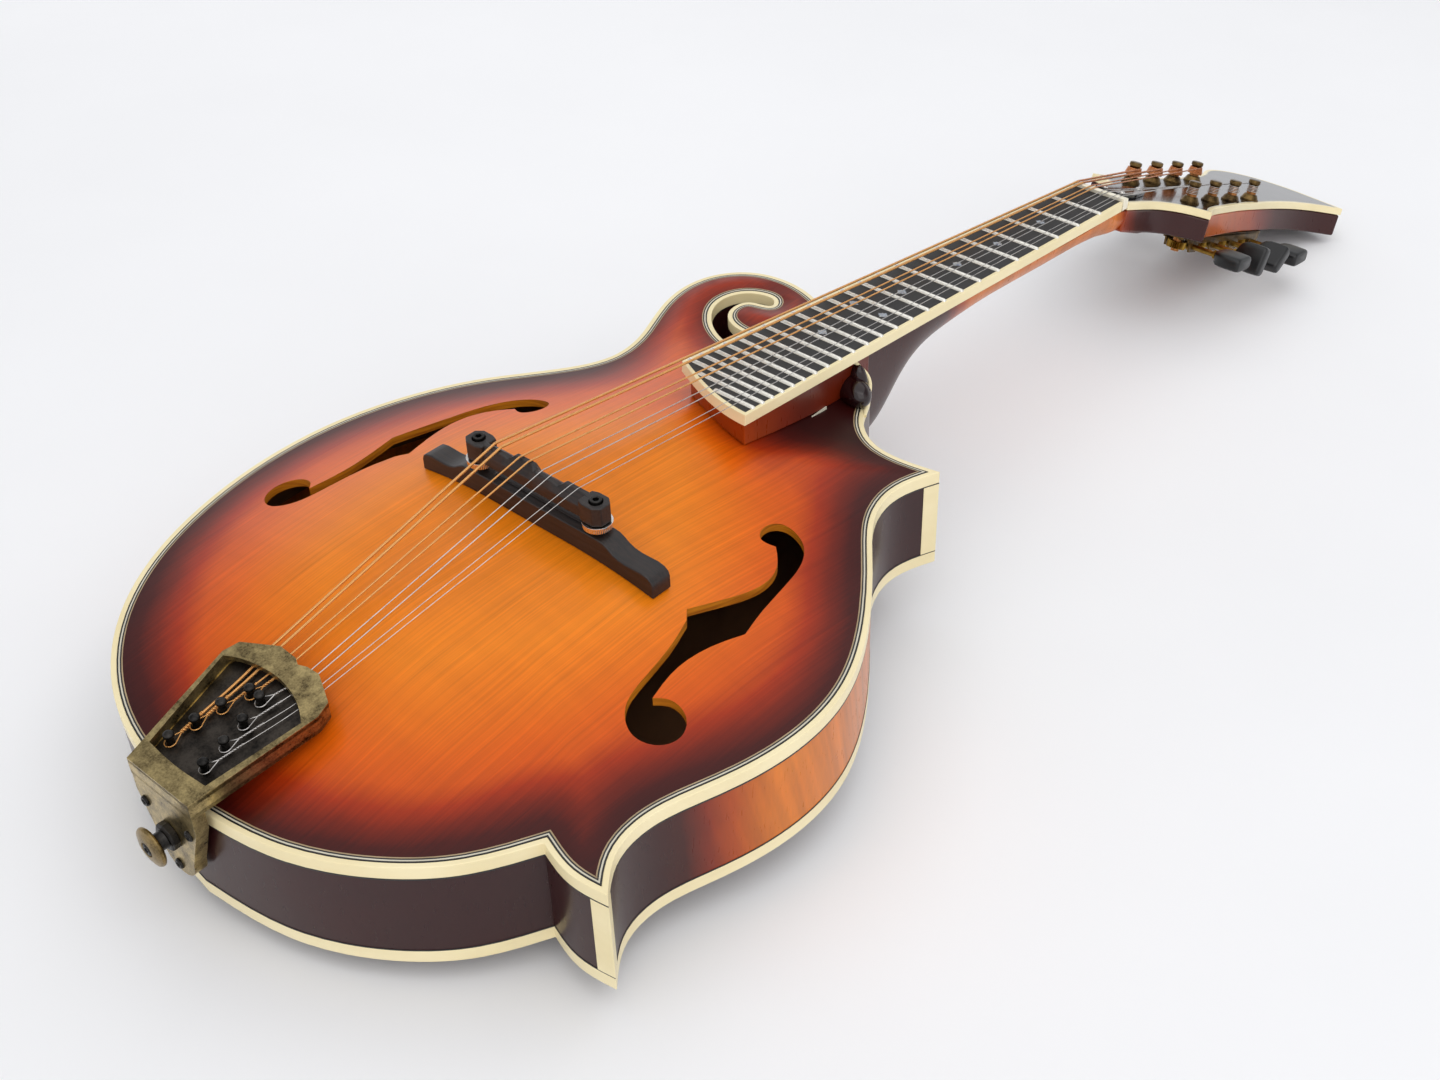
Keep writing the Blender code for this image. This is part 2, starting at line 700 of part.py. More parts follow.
for side, x in (("bass", -POST_SPACING / 2), ("treble", POST_SPACING / 2)):

    def upright(a, b, z, x=x):
        return (x + a, SADDLE_Y + b, z)

    bore = [(2.45, SADDLE_LOW - 1), (2.45, STRING_AT_SADDLE + 2)]
    boolean(saddle, "DIFFERENCE", turned("saddle_bore_" + side, bore, 12, "raw", upright))
    bore = [(2.3, 21.5), (2.3, BASE_TOP + 2)]
    boolean(base, "DIFFERENCE", turned("base_bore_" + side, bore, 12, "raw", upright))
    shank = [(2.0, 21.8), (2.0, STRING_AT_SADDLE - 0.2)]
    turned(side + "_bridge_post", shank, 10, "steel", upright)
    wheel = [circle(0, 0, 5.15, 20), circle(0, 0, 2.45, 10)]
    slab(
        side + "_thumbwheel",
        wheel,
        WHEEL_LOW,
        WHEEL_HIGH,
        "brass",
        turn=upright,
        pivot=(x, SADDLE_Y, WHEEL_LOW),
    )

# Tuners: base plates, posts with worm wheels, worm shafts with buttons.
for side, sign in (("bass", -1), ("treble", 1)):
    plate_back, plate_face = -HEAD_THICK - 1.5, -HEAD_THICK - GAP
    x0, x1 = sorted((sign * (POST_ROW - 8.2), sign * (POST_ROW + 5.9)))
    s0, s1 = POST_FIRST - 8, POST_FIRST + 3 * POST_PITCH + 13.5
    rows = [circle(sign * POST_ROW, POST_FIRST + i * POST_PITCH, 2.95, 8) for i in range(4)]
    corners = np.array([(x0, s0), (x1, s0), (x1, s1), (x0, s1)])
    strip = slab(side + "_tuner_plate", [corners, *rows], plate_back, plate_face, "brass", turn=head_point)
    for k, at in enumerate((POST_ROW - 7.4, POST_ROW + 5.4)):
        bearings = [circle(POST_FIRST + WORM_OFFSET + i * POST_PITCH, WORM_BACK, 2.2, 6) for i in range(4)]
        low, high = -23.6, plate_face - 0.4
        wall = np.array([(s0 + 8, low), (s1 - 1, low), (s1 - 1, high), (s0 + 8, high)])

        def rail_turn(s, n, x, at=at, sign=sign):
            return head_point(sign * (at + x), s, n)

        rail = slab(f"{side}_rail_{k}", [wall, *bearings], -0.5, 0.5, "brass", turn=rail_turn)
        boolean(strip, "UNION", rail)
    for i in range(4):
        s = POST_FIRST + i * POST_PITCH

        def post_frame(a, b, n, s=s, sign=sign):
            return head_point(sign * POST_ROW + a, s + b, n)

        profile = [(2.0, -24.0), (2.0, -22.6), (4.4, -22.6), (4.4, -19.0), (2.4, -19.0), (2.4, 1.2)]
        profile += [(3.0, 3.0), (2.3, 4.2), (2.3, 7.6), (3.0, 8.6), (3.0, POST_TOP)]
        name = f"{side}_tuner_post_{i + 1}"
        turned(name, profile, 8, "bronze", post_frame, head_point(sign * POST_ROW, s, WORM_BACK))

        along = s + WORM_OFFSET
        sections = [(8.4, 1.4, 1.4), (12.2, 1.4, 1.4), (12.6, 2.4, 2.4), (20.6, 2.4, 2.4), (21.0, 1.4, 1.4)]
        sections += [(33.5, 1.4, 1.4), (34.5, 2.6, 2.6), (BUTTON_IN, 3.0, 2.8), (BUTTON_IN + 1.5, 6.6, 3.3)]
        sections += [(BUTTON_IN + 4, 7.4, 3.5), (BUTTON_OUT - 2, 7.2, 3.4), (BUTTON_OUT, 5.4, 2.3)]
        rest = math.radians(BUTTON_TURNS[i])
        rings = []
        for x, wide, deep in sections:
            ring = []
            for j in range(8):
                t = math.pi * (2 * j + 1) / 8
                power = 1.0 if wide == deep else 0.6
                a = wide * math.copysign(abs(math.cos(t)) ** power, math.cos(t))
                b = deep * math.copysign(abs(math.sin(t)) ** power, math.sin(t))
                u = a * math.cos(rest) - b * math.sin(rest)
                v = a * math.sin(rest) + b * math.cos(rest)
                ring.append(head_point(sign * x, along + u, WORM_BACK + v))
            rings.append(ring)
        loft(f"{side}_button_{i + 1}", rings, "black", head_point(sign * BUTTON_IN, along, WORM_BACK))


# Tailpiece: sloping cover with a window over the string pins, and a plate down the tail.
def tail_top(y):
    return TAILPIECE_LOW + TAILPIECE_SLOPE * (y - TAILPIECE_BACK)


def cover(at):
    return tail_top(at[:, 1])


def cover_under(at):
    return np.maximum(tail_top(at[:, 1]) - 6.2, top_surface(at) + 0.8)


COVER_LOOP = [(-14.8, -506), (16, -506), (22.5, -462), (20.8, -456.5), (8.5, -450.5), (3, -450.8), (0, -453)]
COVER_LOOP += [(-3, -450.8), (-10, -450.6), (-22.8, -457), (-24.4, -462.5)]
COVER_LOOP = np.array(COVER_LOOP) + (BODY_LEAN, 0)
WINDOW = [(-12.6, -498), (12.2, -498), (18.0, -467), (14.5, -463.5), (8, -460.6), (0, -459.2)]
WINDOW += [(-9, -459.6), (-17, -461.5), (-21.6, -464.5)]
WINDOW = np.array(WINDOW) + (BODY_LEAN, 0)
tail_field = np.array([(x, y) for y in (-490, -478, -467) for x in (-11, 5)], float)
tailpiece = slab("tailpiece", [COVER_LOOP], cover_under, cover, "bronze", tail_field)


def bed(at):
    return tail_top(at[:, 1]) - 4.6


def above(at):
    return tail_top(at[:, 1]) + 3


boolean(tailpiece, "DIFFERENCE", slab("window", [WINDOW], bed, above, "raw"))
mouth = np.array([(-20, -466), (12.8, -466), (12.8, -446), (-20, -446)])


def mouth_top(at):
    return tail_top(at[:, 1]) - 1.9


def mouth_low(at):
    return tail_top(at[:, 1]) - 4.55


boolean(tailpiece, "DIFFERENCE", slab("mouth", [mouth], mouth_low, mouth_top, "raw"))
PINS = [(AT_PIN[k], PIN_FIRST + min(k, 7 - k) * PIN_STEP) for k in range(8)]
for k, (x, y) in enumerate(PINS):

    def pin_frame(a, b, z, x=x, y=y):
        return (x + a, y + b, z)

    foot = tail_top(y)
    profile = [(1.3, foot - 5.0), (1.3, foot - 1.2), (1.8, foot - 0.9), (1.5, foot + 0.5)]
    boolean(tailpiece, "UNION", turned(f"pin_{k}", profile, 6, "bronze", pin_frame))


def tail_plate_turn(x, z, depth):
    return (x + BODY_LEAN, -501.3 - depth, z)


angles = np.linspace(math.pi, 2 * math.pi, 9)
plate_runs = [(8.2 * math.cos(t), -20.5 + 8.2 * math.sin(t)) for t in angles]
PLATE_LOOP = [(-14.7, 6.0), (-14.7, -1.5)] + plate_runs + [(15.9, -1.5), (15.9, 6.0)]
down = slab("tail_plate", [np.array(PLATE_LOOP)], 0, 4.6, "bronze", turn=tail_plate_turn)
boolean(tailpiece, "UNION", down)


def strap_frame(a, b, y):
    return (a + BODY_LEAN, y, -11.5 + b)


profile = [(4.2, -506.3), (4.2, -508.8), (2.8, -509.3), (2.8, -511.6), (4.8, -512.6), (6.8, -513.2)]
profile += [(6.8, -514.4), (4.2, -515.2)]
turned("strap_button", profile, 12, "brass", strap_frame)

# Strings: pin, mouth of the tailpiece, saddle, nut, and two turns round the post.
for k, name in enumerate(STRING_NAMES):
    radius = STRING_RADII[k]
    row = min(k, 7 - k)
    sign = -1 if k < 4 else 1
    px, py = PINS[k]
    start = py + 1.3 + radius + 0.5
    mouth_y = -452.0
    slope_x = (AT_MOUTH[k] - px) / (mouth_y - py)

    def plan(y, px=px, py=py, slope_x=slope_x):
        return px + slope_x * (y - py)

    path = [
        (plan(start), start, tail_top(start) - 2.4),
        (plan(-457.0), -457.0, tail_top(-457.0) - 3.1),
        (plan(mouth_y), mouth_y, tail_top(mouth_y) - 2.4),
        (AT_SADDLE[k], SADDLE_Y, STRING_AT_SADDLE + radius),
        (AT_NUT[k], 1.0, 0.6 + radius),
    ]
    s = POST_FIRST + row * POST_PITCH
    turn_radius = 3.0 + radius + 0.25
    middle = sign * POST_ROW
    for j in range(15):
        t = 2 * math.pi * j / 8
        x = middle - sign * turn_radius * math.cos(t)
        along = s + turn_radius * math.sin(t)
        path.append(head_point(x, along, 6.6 - j * (2 * radius + 0.25) / 8))
    look = "wound" if k < 4 else "steel"
    wire("string_" + name, path, radius, 5, look)
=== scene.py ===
"""Looks of the F style mandolin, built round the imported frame.

Pieces are drawn in the body frame in millimetres: the nut's front edge is y = 0, the tail is toward -y,
and z = 0 is the flat top edge of the rim. place() turns that frame into the shared frame.
"""

import math

import bpy
import numpy as np
from mathutils import Matrix
from mathutils.geometry import delaunay_2d_cdt


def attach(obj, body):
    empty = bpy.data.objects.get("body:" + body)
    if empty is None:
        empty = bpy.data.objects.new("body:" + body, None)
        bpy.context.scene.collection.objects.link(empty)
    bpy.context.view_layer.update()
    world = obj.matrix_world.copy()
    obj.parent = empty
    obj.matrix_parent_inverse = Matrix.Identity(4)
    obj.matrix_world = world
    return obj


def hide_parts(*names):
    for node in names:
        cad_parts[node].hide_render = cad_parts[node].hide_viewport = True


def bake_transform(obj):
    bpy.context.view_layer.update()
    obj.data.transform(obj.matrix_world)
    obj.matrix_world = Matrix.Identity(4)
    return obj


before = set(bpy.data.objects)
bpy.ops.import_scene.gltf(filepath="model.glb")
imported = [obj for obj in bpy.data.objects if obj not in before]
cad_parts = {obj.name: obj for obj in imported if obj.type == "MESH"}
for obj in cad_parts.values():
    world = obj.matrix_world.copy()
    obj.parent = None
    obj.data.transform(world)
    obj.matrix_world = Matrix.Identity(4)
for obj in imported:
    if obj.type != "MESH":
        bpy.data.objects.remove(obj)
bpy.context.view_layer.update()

# The same driving dimensions as the solids.
BODY_LEAN = -3.0
SCALE_LENGTH = 352.4
BODY_DEPTH = 42.0
POINT_CUT = 5.6
TOP_SHOWN = 3.2
TOP_ARCH = 18.5
BACK_ARCH = 14.0
PLATE = 4.2
ARCH_START = 2.3
ARCH_REACH = 100.0
BINDING_WIDTH = 2.0
BINDING_HEIGHT = 5.0
PITCH = math.radians(6.0)
HEAD = math.radians(21.0)
REST = math.radians(3.722)
SHIFT = np.array((1.54, 150.24, 82.13))
HEAD_THICK = 15.0
FACE_THICK = 3.5
NUT_HALF = 13.8
BOARD_END_HALF = 21.8
BOARD_THICK = 4.6
FRET_HEIGHT = 1.0
SADDLE_Y = -351.0
STRING_AT_SADDLE = 39.9
POST_SPACING = 56.4
POST_FIRST = 58.5
POST_PITCH = 23.4
POST_ROW = 16.4
POST_TOP = 10.3
WORM_BACK = -20.8
WORM_OFFSET = 7.2
BUTTON_IN = 36.0
BUTTON_OUT = 50.0
BUTTON_TURNS = (8, 80, 48, 12)
PIN_FIRST = -493.0
PIN_STEP = 8.7
STRING_RADII = (0.5, 0.5, 0.33, 0.33, 0.19, 0.19, 0.14, 0.14)
STRING_NAMES = ("g_outer", "g_inner", "d_outer", "d_inner", "a_inner", "a_outer", "e_inner", "e_outer")
AT_NUT = (-11.4, -9.0, -4.6, -2.2, 2.2, 4.6, 9.0, 11.4)
AT_SADDLE = (-19.8, -16.6, -7.7, -3.5, 3.5, 7.7, 16.6, 19.8)
AT_PIN = (-14.4, -13.0, -11.0, -8.0, -3.0, -0.2, 1.8, 3.2)
AT_MOUTH = (-17.4, -14.7, -9.6, -6.4, 1.0, 4.2, 8.4, 10.8)


# Frames and small vector tools.
def turned_to_rest(p):
    c, s = math.cos(REST), math.sin(REST)
    return np.stack([p[:, 0], p[:, 1] * c - p[:, 2] * s, p[:, 1] * s + p[:, 2] * c], 1)


def place(points):
    """Body frame in millimetres to the shared frame in metres."""
    return (turned_to_rest(np.asarray(points, float).reshape(-1, 3)) + SHIFT) / 1000


def fret_plane(y):
    return -y * math.tan(PITCH)


def board_bottom(y):
    return fret_plane(y) - FRET_HEIGHT - BOARD_THICK


def board_half(y):
    return NUT_HALF + (BOARD_END_HALF - NUT_HALF) * (-y) / 275.0


def head_point(x, s, n):
    """Point on the headstock: s along it from the nut, n out of its face."""
    y = 5.2 + s * math.cos(HEAD) + n * math.sin(HEAD)
    return (x, y, -3.6 - s * math.sin(HEAD) + n * math.cos(HEAD))


def on_board(x, y, n):
    """Point n above the fret tops, y down the middle of the neck."""
    return (x, y + n * math.sin(PITCH), fret_plane(y) + n * math.cos(PITCH))


def fret_distance(number):
    return SCALE_LENGTH * (1 - 2 ** (-number / 12))


def ease(low, high, value):
    t = np.clip((np.asarray(value, float) - low) / (high - low), 0, 1)
    return t * t * (3 - 2 * t)


def smooth(points, step=1.0):
    """Natural cubic spline through the points, sampled about every step."""
    p = np.asarray(points, float)
    t = np.concatenate([[0], np.cumsum(np.linalg.norm(np.diff(p, axis=0), axis=1))])
    n = len(p)
    h = np.diff(t)
    a = np.eye(n)
    b = np.zeros((n, p.shape[1]))
    for i in range(1, n - 1):
        a[i, i - 1 : i + 2] = h[i - 1], 2 * (h[i - 1] + h[i]), h[i]
        b[i] = 6 * ((p[i + 1] - p[i]) / h[i] - (p[i] - p[i - 1]) / h[i - 1])
    m = np.linalg.solve(a, b)
    out = []
    for i in range(n - 1):
        for u in np.linspace(0, 1, max(2, int(h[i] / step)), endpoint=False):
            d = u * h[i]
            e = h[i] - d
            cubic = (m[i] * e**3 + m[i + 1] * d**3) / (6 * h[i])
            left = (p[i] / h[i] - m[i] * h[i] / 6) * e
            right = (p[i + 1] / h[i] - m[i + 1] * h[i] / 6) * d
            out.append(cubic + left + right)
    out.append(p[-1])
    return np.array(out)


def thin(points, tolerance):
    """Fewest of the points that stay within the tolerance of them all."""
    points = np.asarray(points, float)
    if len(points) < 3:
        return points
    a, b = points[0], points[-1]
    along = b - a
    length = np.linalg.norm(along)
    away = points - a
    if length > 1e-9:
        away = away - np.outer(away @ along / length**2, along)
    far = np.linalg.norm(away, axis=1)
    k = int(far.argmax())
    if far[k] <= tolerance:
        return np.array([a, b])
    return np.vstack([thin(points[: k + 1], tolerance)[:-1], thin(points[k:], tolerance)])


def outline(runs, tolerance, clear=0.0):
    """Closed loop of smooth runs that meet at corners; clear keeps other points off the corners."""
    loop = []
    for run in runs:
        points = thin(smooth(run, 0.6), tolerance)
        ends = points[[0, -1]]
        keep = [np.linalg.norm(ends - q, axis=1).min() > clear for q in points]
        keep[0] = True
        keep[-1] = False
        loop.extend(points[i] for i in range(len(points)) if keep[i])
    return np.array(loop)


def inset(loop, distance):
    """Loop moved inward; the loop runs counterclockwise."""
    before = loop - np.roll(loop, 1, axis=0)
    after = np.roll(loop, -1, axis=0) - loop
    before /= np.linalg.norm(before, axis=1)[:, None]
    after /= np.linalg.norm(after, axis=1)[:, None]
    left_b = np.stack([-before[:, 1], before[:, 0]], 1)
    left_a = np.stack([-after[:, 1], after[:, 0]], 1)
    mid = left_a + left_b
    mid /= np.einsum("ij,ij->i", mid, left_b)[:, None]
    return loop + mid * distance


def clip(loop, point, normal):
    """Part of the loop on the side of the line that the normal points away from."""
    side = (loop - point) @ normal
    out = []
    for i in range(len(loop)):
        j = (i + 1) % len(loop)
        if side[i] <= 0:
            out.append(loop[i])
        if (side[i] <= 0) != (side[j] <= 0):
            out.append(loop[i] + (loop[j] - loop[i]) * side[i] / (side[i] - side[j]))
    return np.array(out)


def nearest(points, loop):
    """Distance from each point to the loop, and how far round the loop the nearest spot lies."""
    points = np.asarray(points, float).reshape(-1, 2)
    best = np.full(len(points), 1e9)
    arc = np.zeros(len(points))
    run = 0.0
    for a, b in zip(loop, np.roll(loop, -1, axis=0)):
        ab = b - a
        length = np.linalg.norm(ab)
        t = np.clip((points - a) @ ab / length**2, 0, 1)
        d = np.linalg.norm(points - a - t[:, None] * ab, axis=1)
        nearer = d < best
        arc[nearer] = run + t[nearer] * length
        best = np.minimum(best, d)
        run += length
    return best, arc


def inside(points, loops):
    """Which points lie in an odd number of the loops."""
    points = np.asarray(points, float).reshape(-1, 2)
    odd = np.zeros(len(points), bool)
    for loop in loops:
        for a, b in zip(loop, np.roll(loop, -1, axis=0)):
            cross = (a[1] > points[:, 1]) != (b[1] > points[:, 1])
            x = a[0] + (points[:, 1] - a[1]) / (b[1] - a[1] + 1e-30) * (b[0] - a[0])
            odd ^= cross & (points[:, 0] < x)
    return odd


def field(loop, holes, pitch, keep):
    """Staggered points inside the loop, off its edges and off the holes."""
    low, high = loop.min(axis=0), loop.max(axis=0)
    points = []
    for row, y in enumerate(np.arange(low[1], high[1], pitch * 0.87)):
        for x in np.arange(low[0] + (row % 2) * pitch / 2, high[0], pitch):
            points.append((x, y))
    points = np.array(points)
    good = inside(points, [loop]) & (nearest(points, loop)[0] > keep)
    for hole in holes:
        good &= (nearest(points, hole)[0] > keep) & ~inside(points, [hole])
    return points[good]


def circle(x, y, radius, count):
    turn = [2 * math.pi * j / count for j in range(count)]
    return np.array([(x + radius * math.cos(t), y + radius * math.sin(t)) for t in turn])


# Meshes: each maker returns (points, faces, material number of each face).
def sheet(loops, low, high, inner=(), turn=None, wall=0, under=0):
    """Sheet between two surfaces over the loops; turn maps (x, y, z) into the body frame."""
    flat = []
    edges = []
    for loop in loops:
        first = len(flat)
        flat.extend((float(q[0]), float(q[1])) for q in loop)
        edges.extend((first + i, first + (i + 1) % len(loop)) for i in range(len(loop)))
    flat.extend((float(q[0]), float(q[1])) for q in inner)
    found = delaunay_2d_cdt(flat, edges, [], 0, 1e-5)
    at = np.array([tuple(v) for v in found[0]])
    faces = np.array(found[2])
    kept = faces[inside(at[faces].mean(axis=1), loops)]
    used, kept = np.unique(kept, return_inverse=True)
    kept = kept.reshape(-1, 3)
    at = at[used]
    n = len(at)
    top = high(at) if callable(high) else np.full(n, float(high))
    bottom = low(at) if callable(low) else np.full(n, float(low))
    points = np.vstack([np.c_[at, top], np.c_[at, bottom]])
    if turn is not None:
        points = np.array([turn(*q) for q in points])
    area = [np.cross(at[b] - at[a], at[c] - at[a]) for a, b, c in kept]
    kept = [tuple(f) if s > 0 else tuple(f[::-1]) for f, s in zip(kept, area)]
    sides = {}
    for a, b, c in kept:
        for e in ((a, b), (b, c), (c, a)):
            sides[e] = True
    walls = [(b, a, a + n, b + n) for a, b in sides if (b, a) not in sides]
    low_faces = [(c + n, b + n, a + n) for a, b, c in kept]
    slots = [0] * len(kept) + [under] * len(low_faces) + [wall] * len(walls)
    return points, kept + low_faces + walls, slots


def loft(rings, slot=0):
    """Skin over rings of equal count, closed with a flat end at each side."""
    rings = [np.asarray(ring, float) for ring in rings]
    m = len(rings[0])
    faces = []
    for i in range(len(rings) - 1):
        for j in range(m):
            k = (j + 1) % m
            faces.append((i * m + j, i * m + k, (i + 1) * m + k, (i + 1) * m + j))
    faces.append(tuple(range(m))[::-1])
    faces.append(tuple((len(rings) - 1) * m + j for j in range(m)))
    return np.vstack(rings), faces, [slot] * len(faces)


def lathe(profile, count, to_body, slot=0):
    """Turned work: profile of (radius, along); to_body maps (a, b, along) into the body frame."""
    turns = [2 * math.pi * j / count for j in range(count)]
    rings = [[to_body(r * math.cos(t), r * math.sin(t), along) for t in turns] for r, along in profile]
    return loft(rings, slot)


def tube(path, radius, sides=8):
    """Round wire along a path; the radius may change along it."""
    path = np.asarray(path, float)
    radii = np.broadcast_to(np.asarray(radius, float), (len(path),))
    along = np.gradient(path, axis=0)
    along /= np.linalg.norm(along, axis=1)[:, None]
    up = np.array([0.05, 0.02, 1.0])
    rings = []
    for q, d, r in zip(path, along, radii):
        side = np.cross(d, up)
        side /= np.linalg.norm(side)
        up = np.cross(side, d)
        turns = [2 * math.pi * (j + 0.5) / sides for j in range(sides)]
        rings.append([q + r * (math.cos(t) * side + math.sin(t) * up) for t in turns])
    return loft(rings)


def piece(name, parts, looks, body="body", stands_for=(), bevel=0.0, sharp=38, marks=None):
    """One visual piece from its parts, riding on a body of the frame."""
    points = np.vstack([p for p, f, s in parts])
    faces = []
    slots = []
    first = 0
    for p, f, s in parts:
        centre = p.mean(axis=0)
        q = p - centre
        fans = [(a[0], a[k], a[k + 1]) for a in f for k in range(1, len(a) - 1)]
        volume = sum(np.dot(q[a], np.cross(q[b], q[c])) for a, b, c in fans)
        for a in f:
            faces.append(tuple(int(first + i) for i in (a if volume > 0 else a[::-1])))
        slots.extend(s)
        first += len(p)
    mesh = bpy.data.meshes.new(name)
    mesh.from_pydata(place(points).tolist(), [], faces)
    for look in looks if isinstance(looks, (list, tuple)) else [looks]:
        mesh.materials.append(look)
    mesh.polygons.foreach_set("material_index", slots)
    mesh.polygons.foreach_set("use_smooth", [True] * len(faces))
    for key, value in (marks or {}).items():
        values = value(points) if callable(value) else value
        attribute = mesh.attributes.new(key, "FLOAT", "POINT")
        attribute.data.foreach_set("value", np.asarray(values, np.float32))
    mesh.update()
    mesh.set_sharp_from_angle(angle=math.radians(sharp))
    thing = bpy.data.objects.new(name, mesh)
    bpy.context.scene.collection.objects.link(thing)
    if bevel:
        step = thing.modifiers.new("edge", "BEVEL")
        step.width = bevel / 1000
        step.segments = 3
        step.limit_method = "ANGLE"
        step.angle_limit = math.radians(38)
        step.harden_normals = True
    if body:
        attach(thing, body)
    for node in (stands_for,) if isinstance(stands_for, str) else stands_for:
        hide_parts(node)
    return thing


# Finishes: each is one Principled shader fed by procedural textures.
def tone(red, green, blue):
    """Screen colour from 0 to 255 as linear RGBA."""
    return tuple((c / 255) ** 2.2 for c in (red, green, blue)) + (1.0,)


class Look:
    def __init__(self, name, **values):
        self.material = bpy.data.materials.new(name)
        self.material.use_nodes = True
        self.tree = self.material.node_tree
        self.shader = self.tree.nodes["Principled BSDF"]
        self.put(self.shader, {key.replace("_", " "): value for key, value in values.items()})
        self.coords = self.add("TexCoord").outputs["Object"]

    def put(self, node, values):
        for key, value in values.items():
            if isinstance(value, bpy.types.NodeSocket):
                self.tree.links.new(value, node.inputs[key])
            else:
                node.inputs[key].default_value = value

    def add(self, kind, inputs=None, **settings):
        node = self.tree.nodes.new("ShaderNode" + kind)
        for key, value in settings.items():
            setattr(node, key, value)
        self.put(node, inputs or {})
        return node

    def math(self, operation, a, b=0.0, clamp=False):
        node = self.add("Math", {0: a, 1: b}, operation=operation, use_clamp=clamp)
        return node.outputs[0]

    def noise(self, scale, detail=3.0, rough=0.55, coords=None):
        """Value noise; scale is in cells a metre along each axis."""
        vector = self.add("Mapping", {"Vector": coords or self.coords, "Scale": scale}).outputs[0]
        inputs = {"Vector": vector, "Scale": 1.0, "Detail": detail, "Roughness": rough}
        return self.add("TexNoise", inputs).outputs["Fac"]

    def mark(self, name):
        return self.add("Attribute", attribute_name=name).outputs["Fac"]

    def span(self, value, low, high):
        """Value from 0 to 1 moved to low to high."""
        return self.math("ADD", self.math("MULTIPLY", value, high - low), low)

    def ramp(self, value, stops):
        node = self.add("ValToRGB", {"Fac": value})
        band = node.color_ramp
        while len(band.elements) < len(stops):
            band.elements.new(0.5)
        for element, (at, colour) in zip(band.elements, stops):
            element.position = at
            element.color = colour
        return node.outputs["Color"]

    def mix(self, value, a, b, blend="MIX"):
        node = self.add("Mix", data_type="RGBA", blend_type=blend)
        self.put(node, {0: value, 6: a, 7: b})
        return node.outputs[2]

    def shade(self, colour, value, low, high):
        """Colour times a grey that runs from low to high with the value."""
        grey = self.ramp(value, [(0.25, (low, low, low, 1)), (0.75, (high, high, high, 1))])
        return self.mix(1.0, colour, grey, "MULTIPLY")

    def finish(self, colour=None, rough=None, height=None, strength=0.1, distance=0.0002):
        if colour is not None:
            self.put(self.shader, {"Base Color": colour})
        if rough is not None:
            self.put(self.shader, {"Roughness": rough})
        if height is not None:
            bump = self.add("Bump", {"Height": height, "Strength": strength, "Distance": distance})
            self.put(self.shader, {"Normal": bump.outputs[0]})
        return self.material


def sunburst_spruce():
    look = Look("sunburst_spruce", Coat_Weight=0.08, Coat_Roughness=0.12, Specular_IOR_Level=0.2)
    drift = look.noise((14, 7, 14), 2.0)
    streak = look.noise((900, 9, 30), 2.0)
    # Besides the distance from the edge, the edge mark carries painted shade around the board's end.
    depth = look.math("ADD", look.mark("edge"), look.span(drift, -9.0, 9.0))
    depth = look.math("ADD", depth, look.span(streak, -2.0, 2.0))
    stops = [
        (0.0, tone(50, 18, 17)),
        (0.12, tone(72, 22, 17)),
        (0.21, tone(112, 34, 17)),
        (0.31, tone(160, 50, 16)),
        (0.42, tone(202, 82, 16)),
        (0.56, tone(214, 94, 14)),
        (0.76, tone(222, 110, 16)),
        (1.0, tone(230, 125, 22)),
    ]
    colour = look.ramp(look.math("DIVIDE", depth, 70.0, True), stops)
    fine = look.noise((1600, 14, 60), 2.0)
    broad = look.noise((640, 8, 30), 3.0)
    cross = look.noise((26, 90, 30), 3.0)
    colour = look.shade(colour, fine, 0.86, 1.1)
    colour = look.shade(colour, broad, 0.9, 1.07)
    colour = look.shade(colour, cross, 0.93, 1.05)
    return look.finish(colour, look.span(broad, 0.3, 0.4), fine, 0.12, 0.0001)


def burst_maple(name, figure):
    """Flamed maple; the mark burst runs from 0, dark, to 1, amber, and arc lies along the wood."""
    look = Look(name, Coat_Weight=0.12, Coat_Roughness=0.12, Specular_IOR_Level=0.3)
    arc = look.mark("arc")
    height = look.add("SeparateXYZ", {"Vector": look.coords}).outputs[2]
    bent = look.math("ADD", look.math("MULTIPLY", arc, 0.001), look.math("MULTIPLY", height, 0.25))
    flat = look.add("CombineXYZ", {0: bent, 1: height}).outputs[0]
    flame = look.noise((figure, 9, 1), 2.0, 0.6, flat)
    pores = look.noise((900, 900, 160), 3.0)
    burst = look.math("ADD", look.mark("burst"), look.span(look.noise((16, 16, 30), 2.0), -0.12, 0.12))
    stops = [
        (0.0, tone(52, 24, 24)),
        (0.22, tone(66, 26, 20)),
        (0.45, tone(122, 42, 18)),
        (0.68, tone(174, 74, 20)),
        (1.0, tone(210, 116, 32)),
    ]
    colour = look.ramp(burst, stops)
    figured = look.shade(colour, flame, 0.62, 1.2)
    colour = look.mix(look.math("MULTIPLY", look.mark("burst"), 0.9), colour, figured)
    colour = look.shade(colour, pores, 0.93, 1.05)
    return look.finish(colour, look.span(pores, 0.24, 0.34), pores, 0.02, 0.0001)


def plain(name, first, second, scale, rough, strength=0.08, detail=4.0, **values):
    """Finish that wanders between two tones, with the same noise as a fine bump."""
    look = Look(name, **values)
    cloud = look.noise(scale, detail)
    colour = look.ramp(cloud, [(0.3, first), (0.7, second)])
    return look.finish(colour, look.span(cloud, *rough), cloud, strength, 0.0002)


def metal(name, first, second, scale, rough, metallic=1.0, strength=0.03):
    """Bright metal with a fine grain."""
    return plain(name, first, second, scale, rough, strength, 3.0, Metallic=metallic)


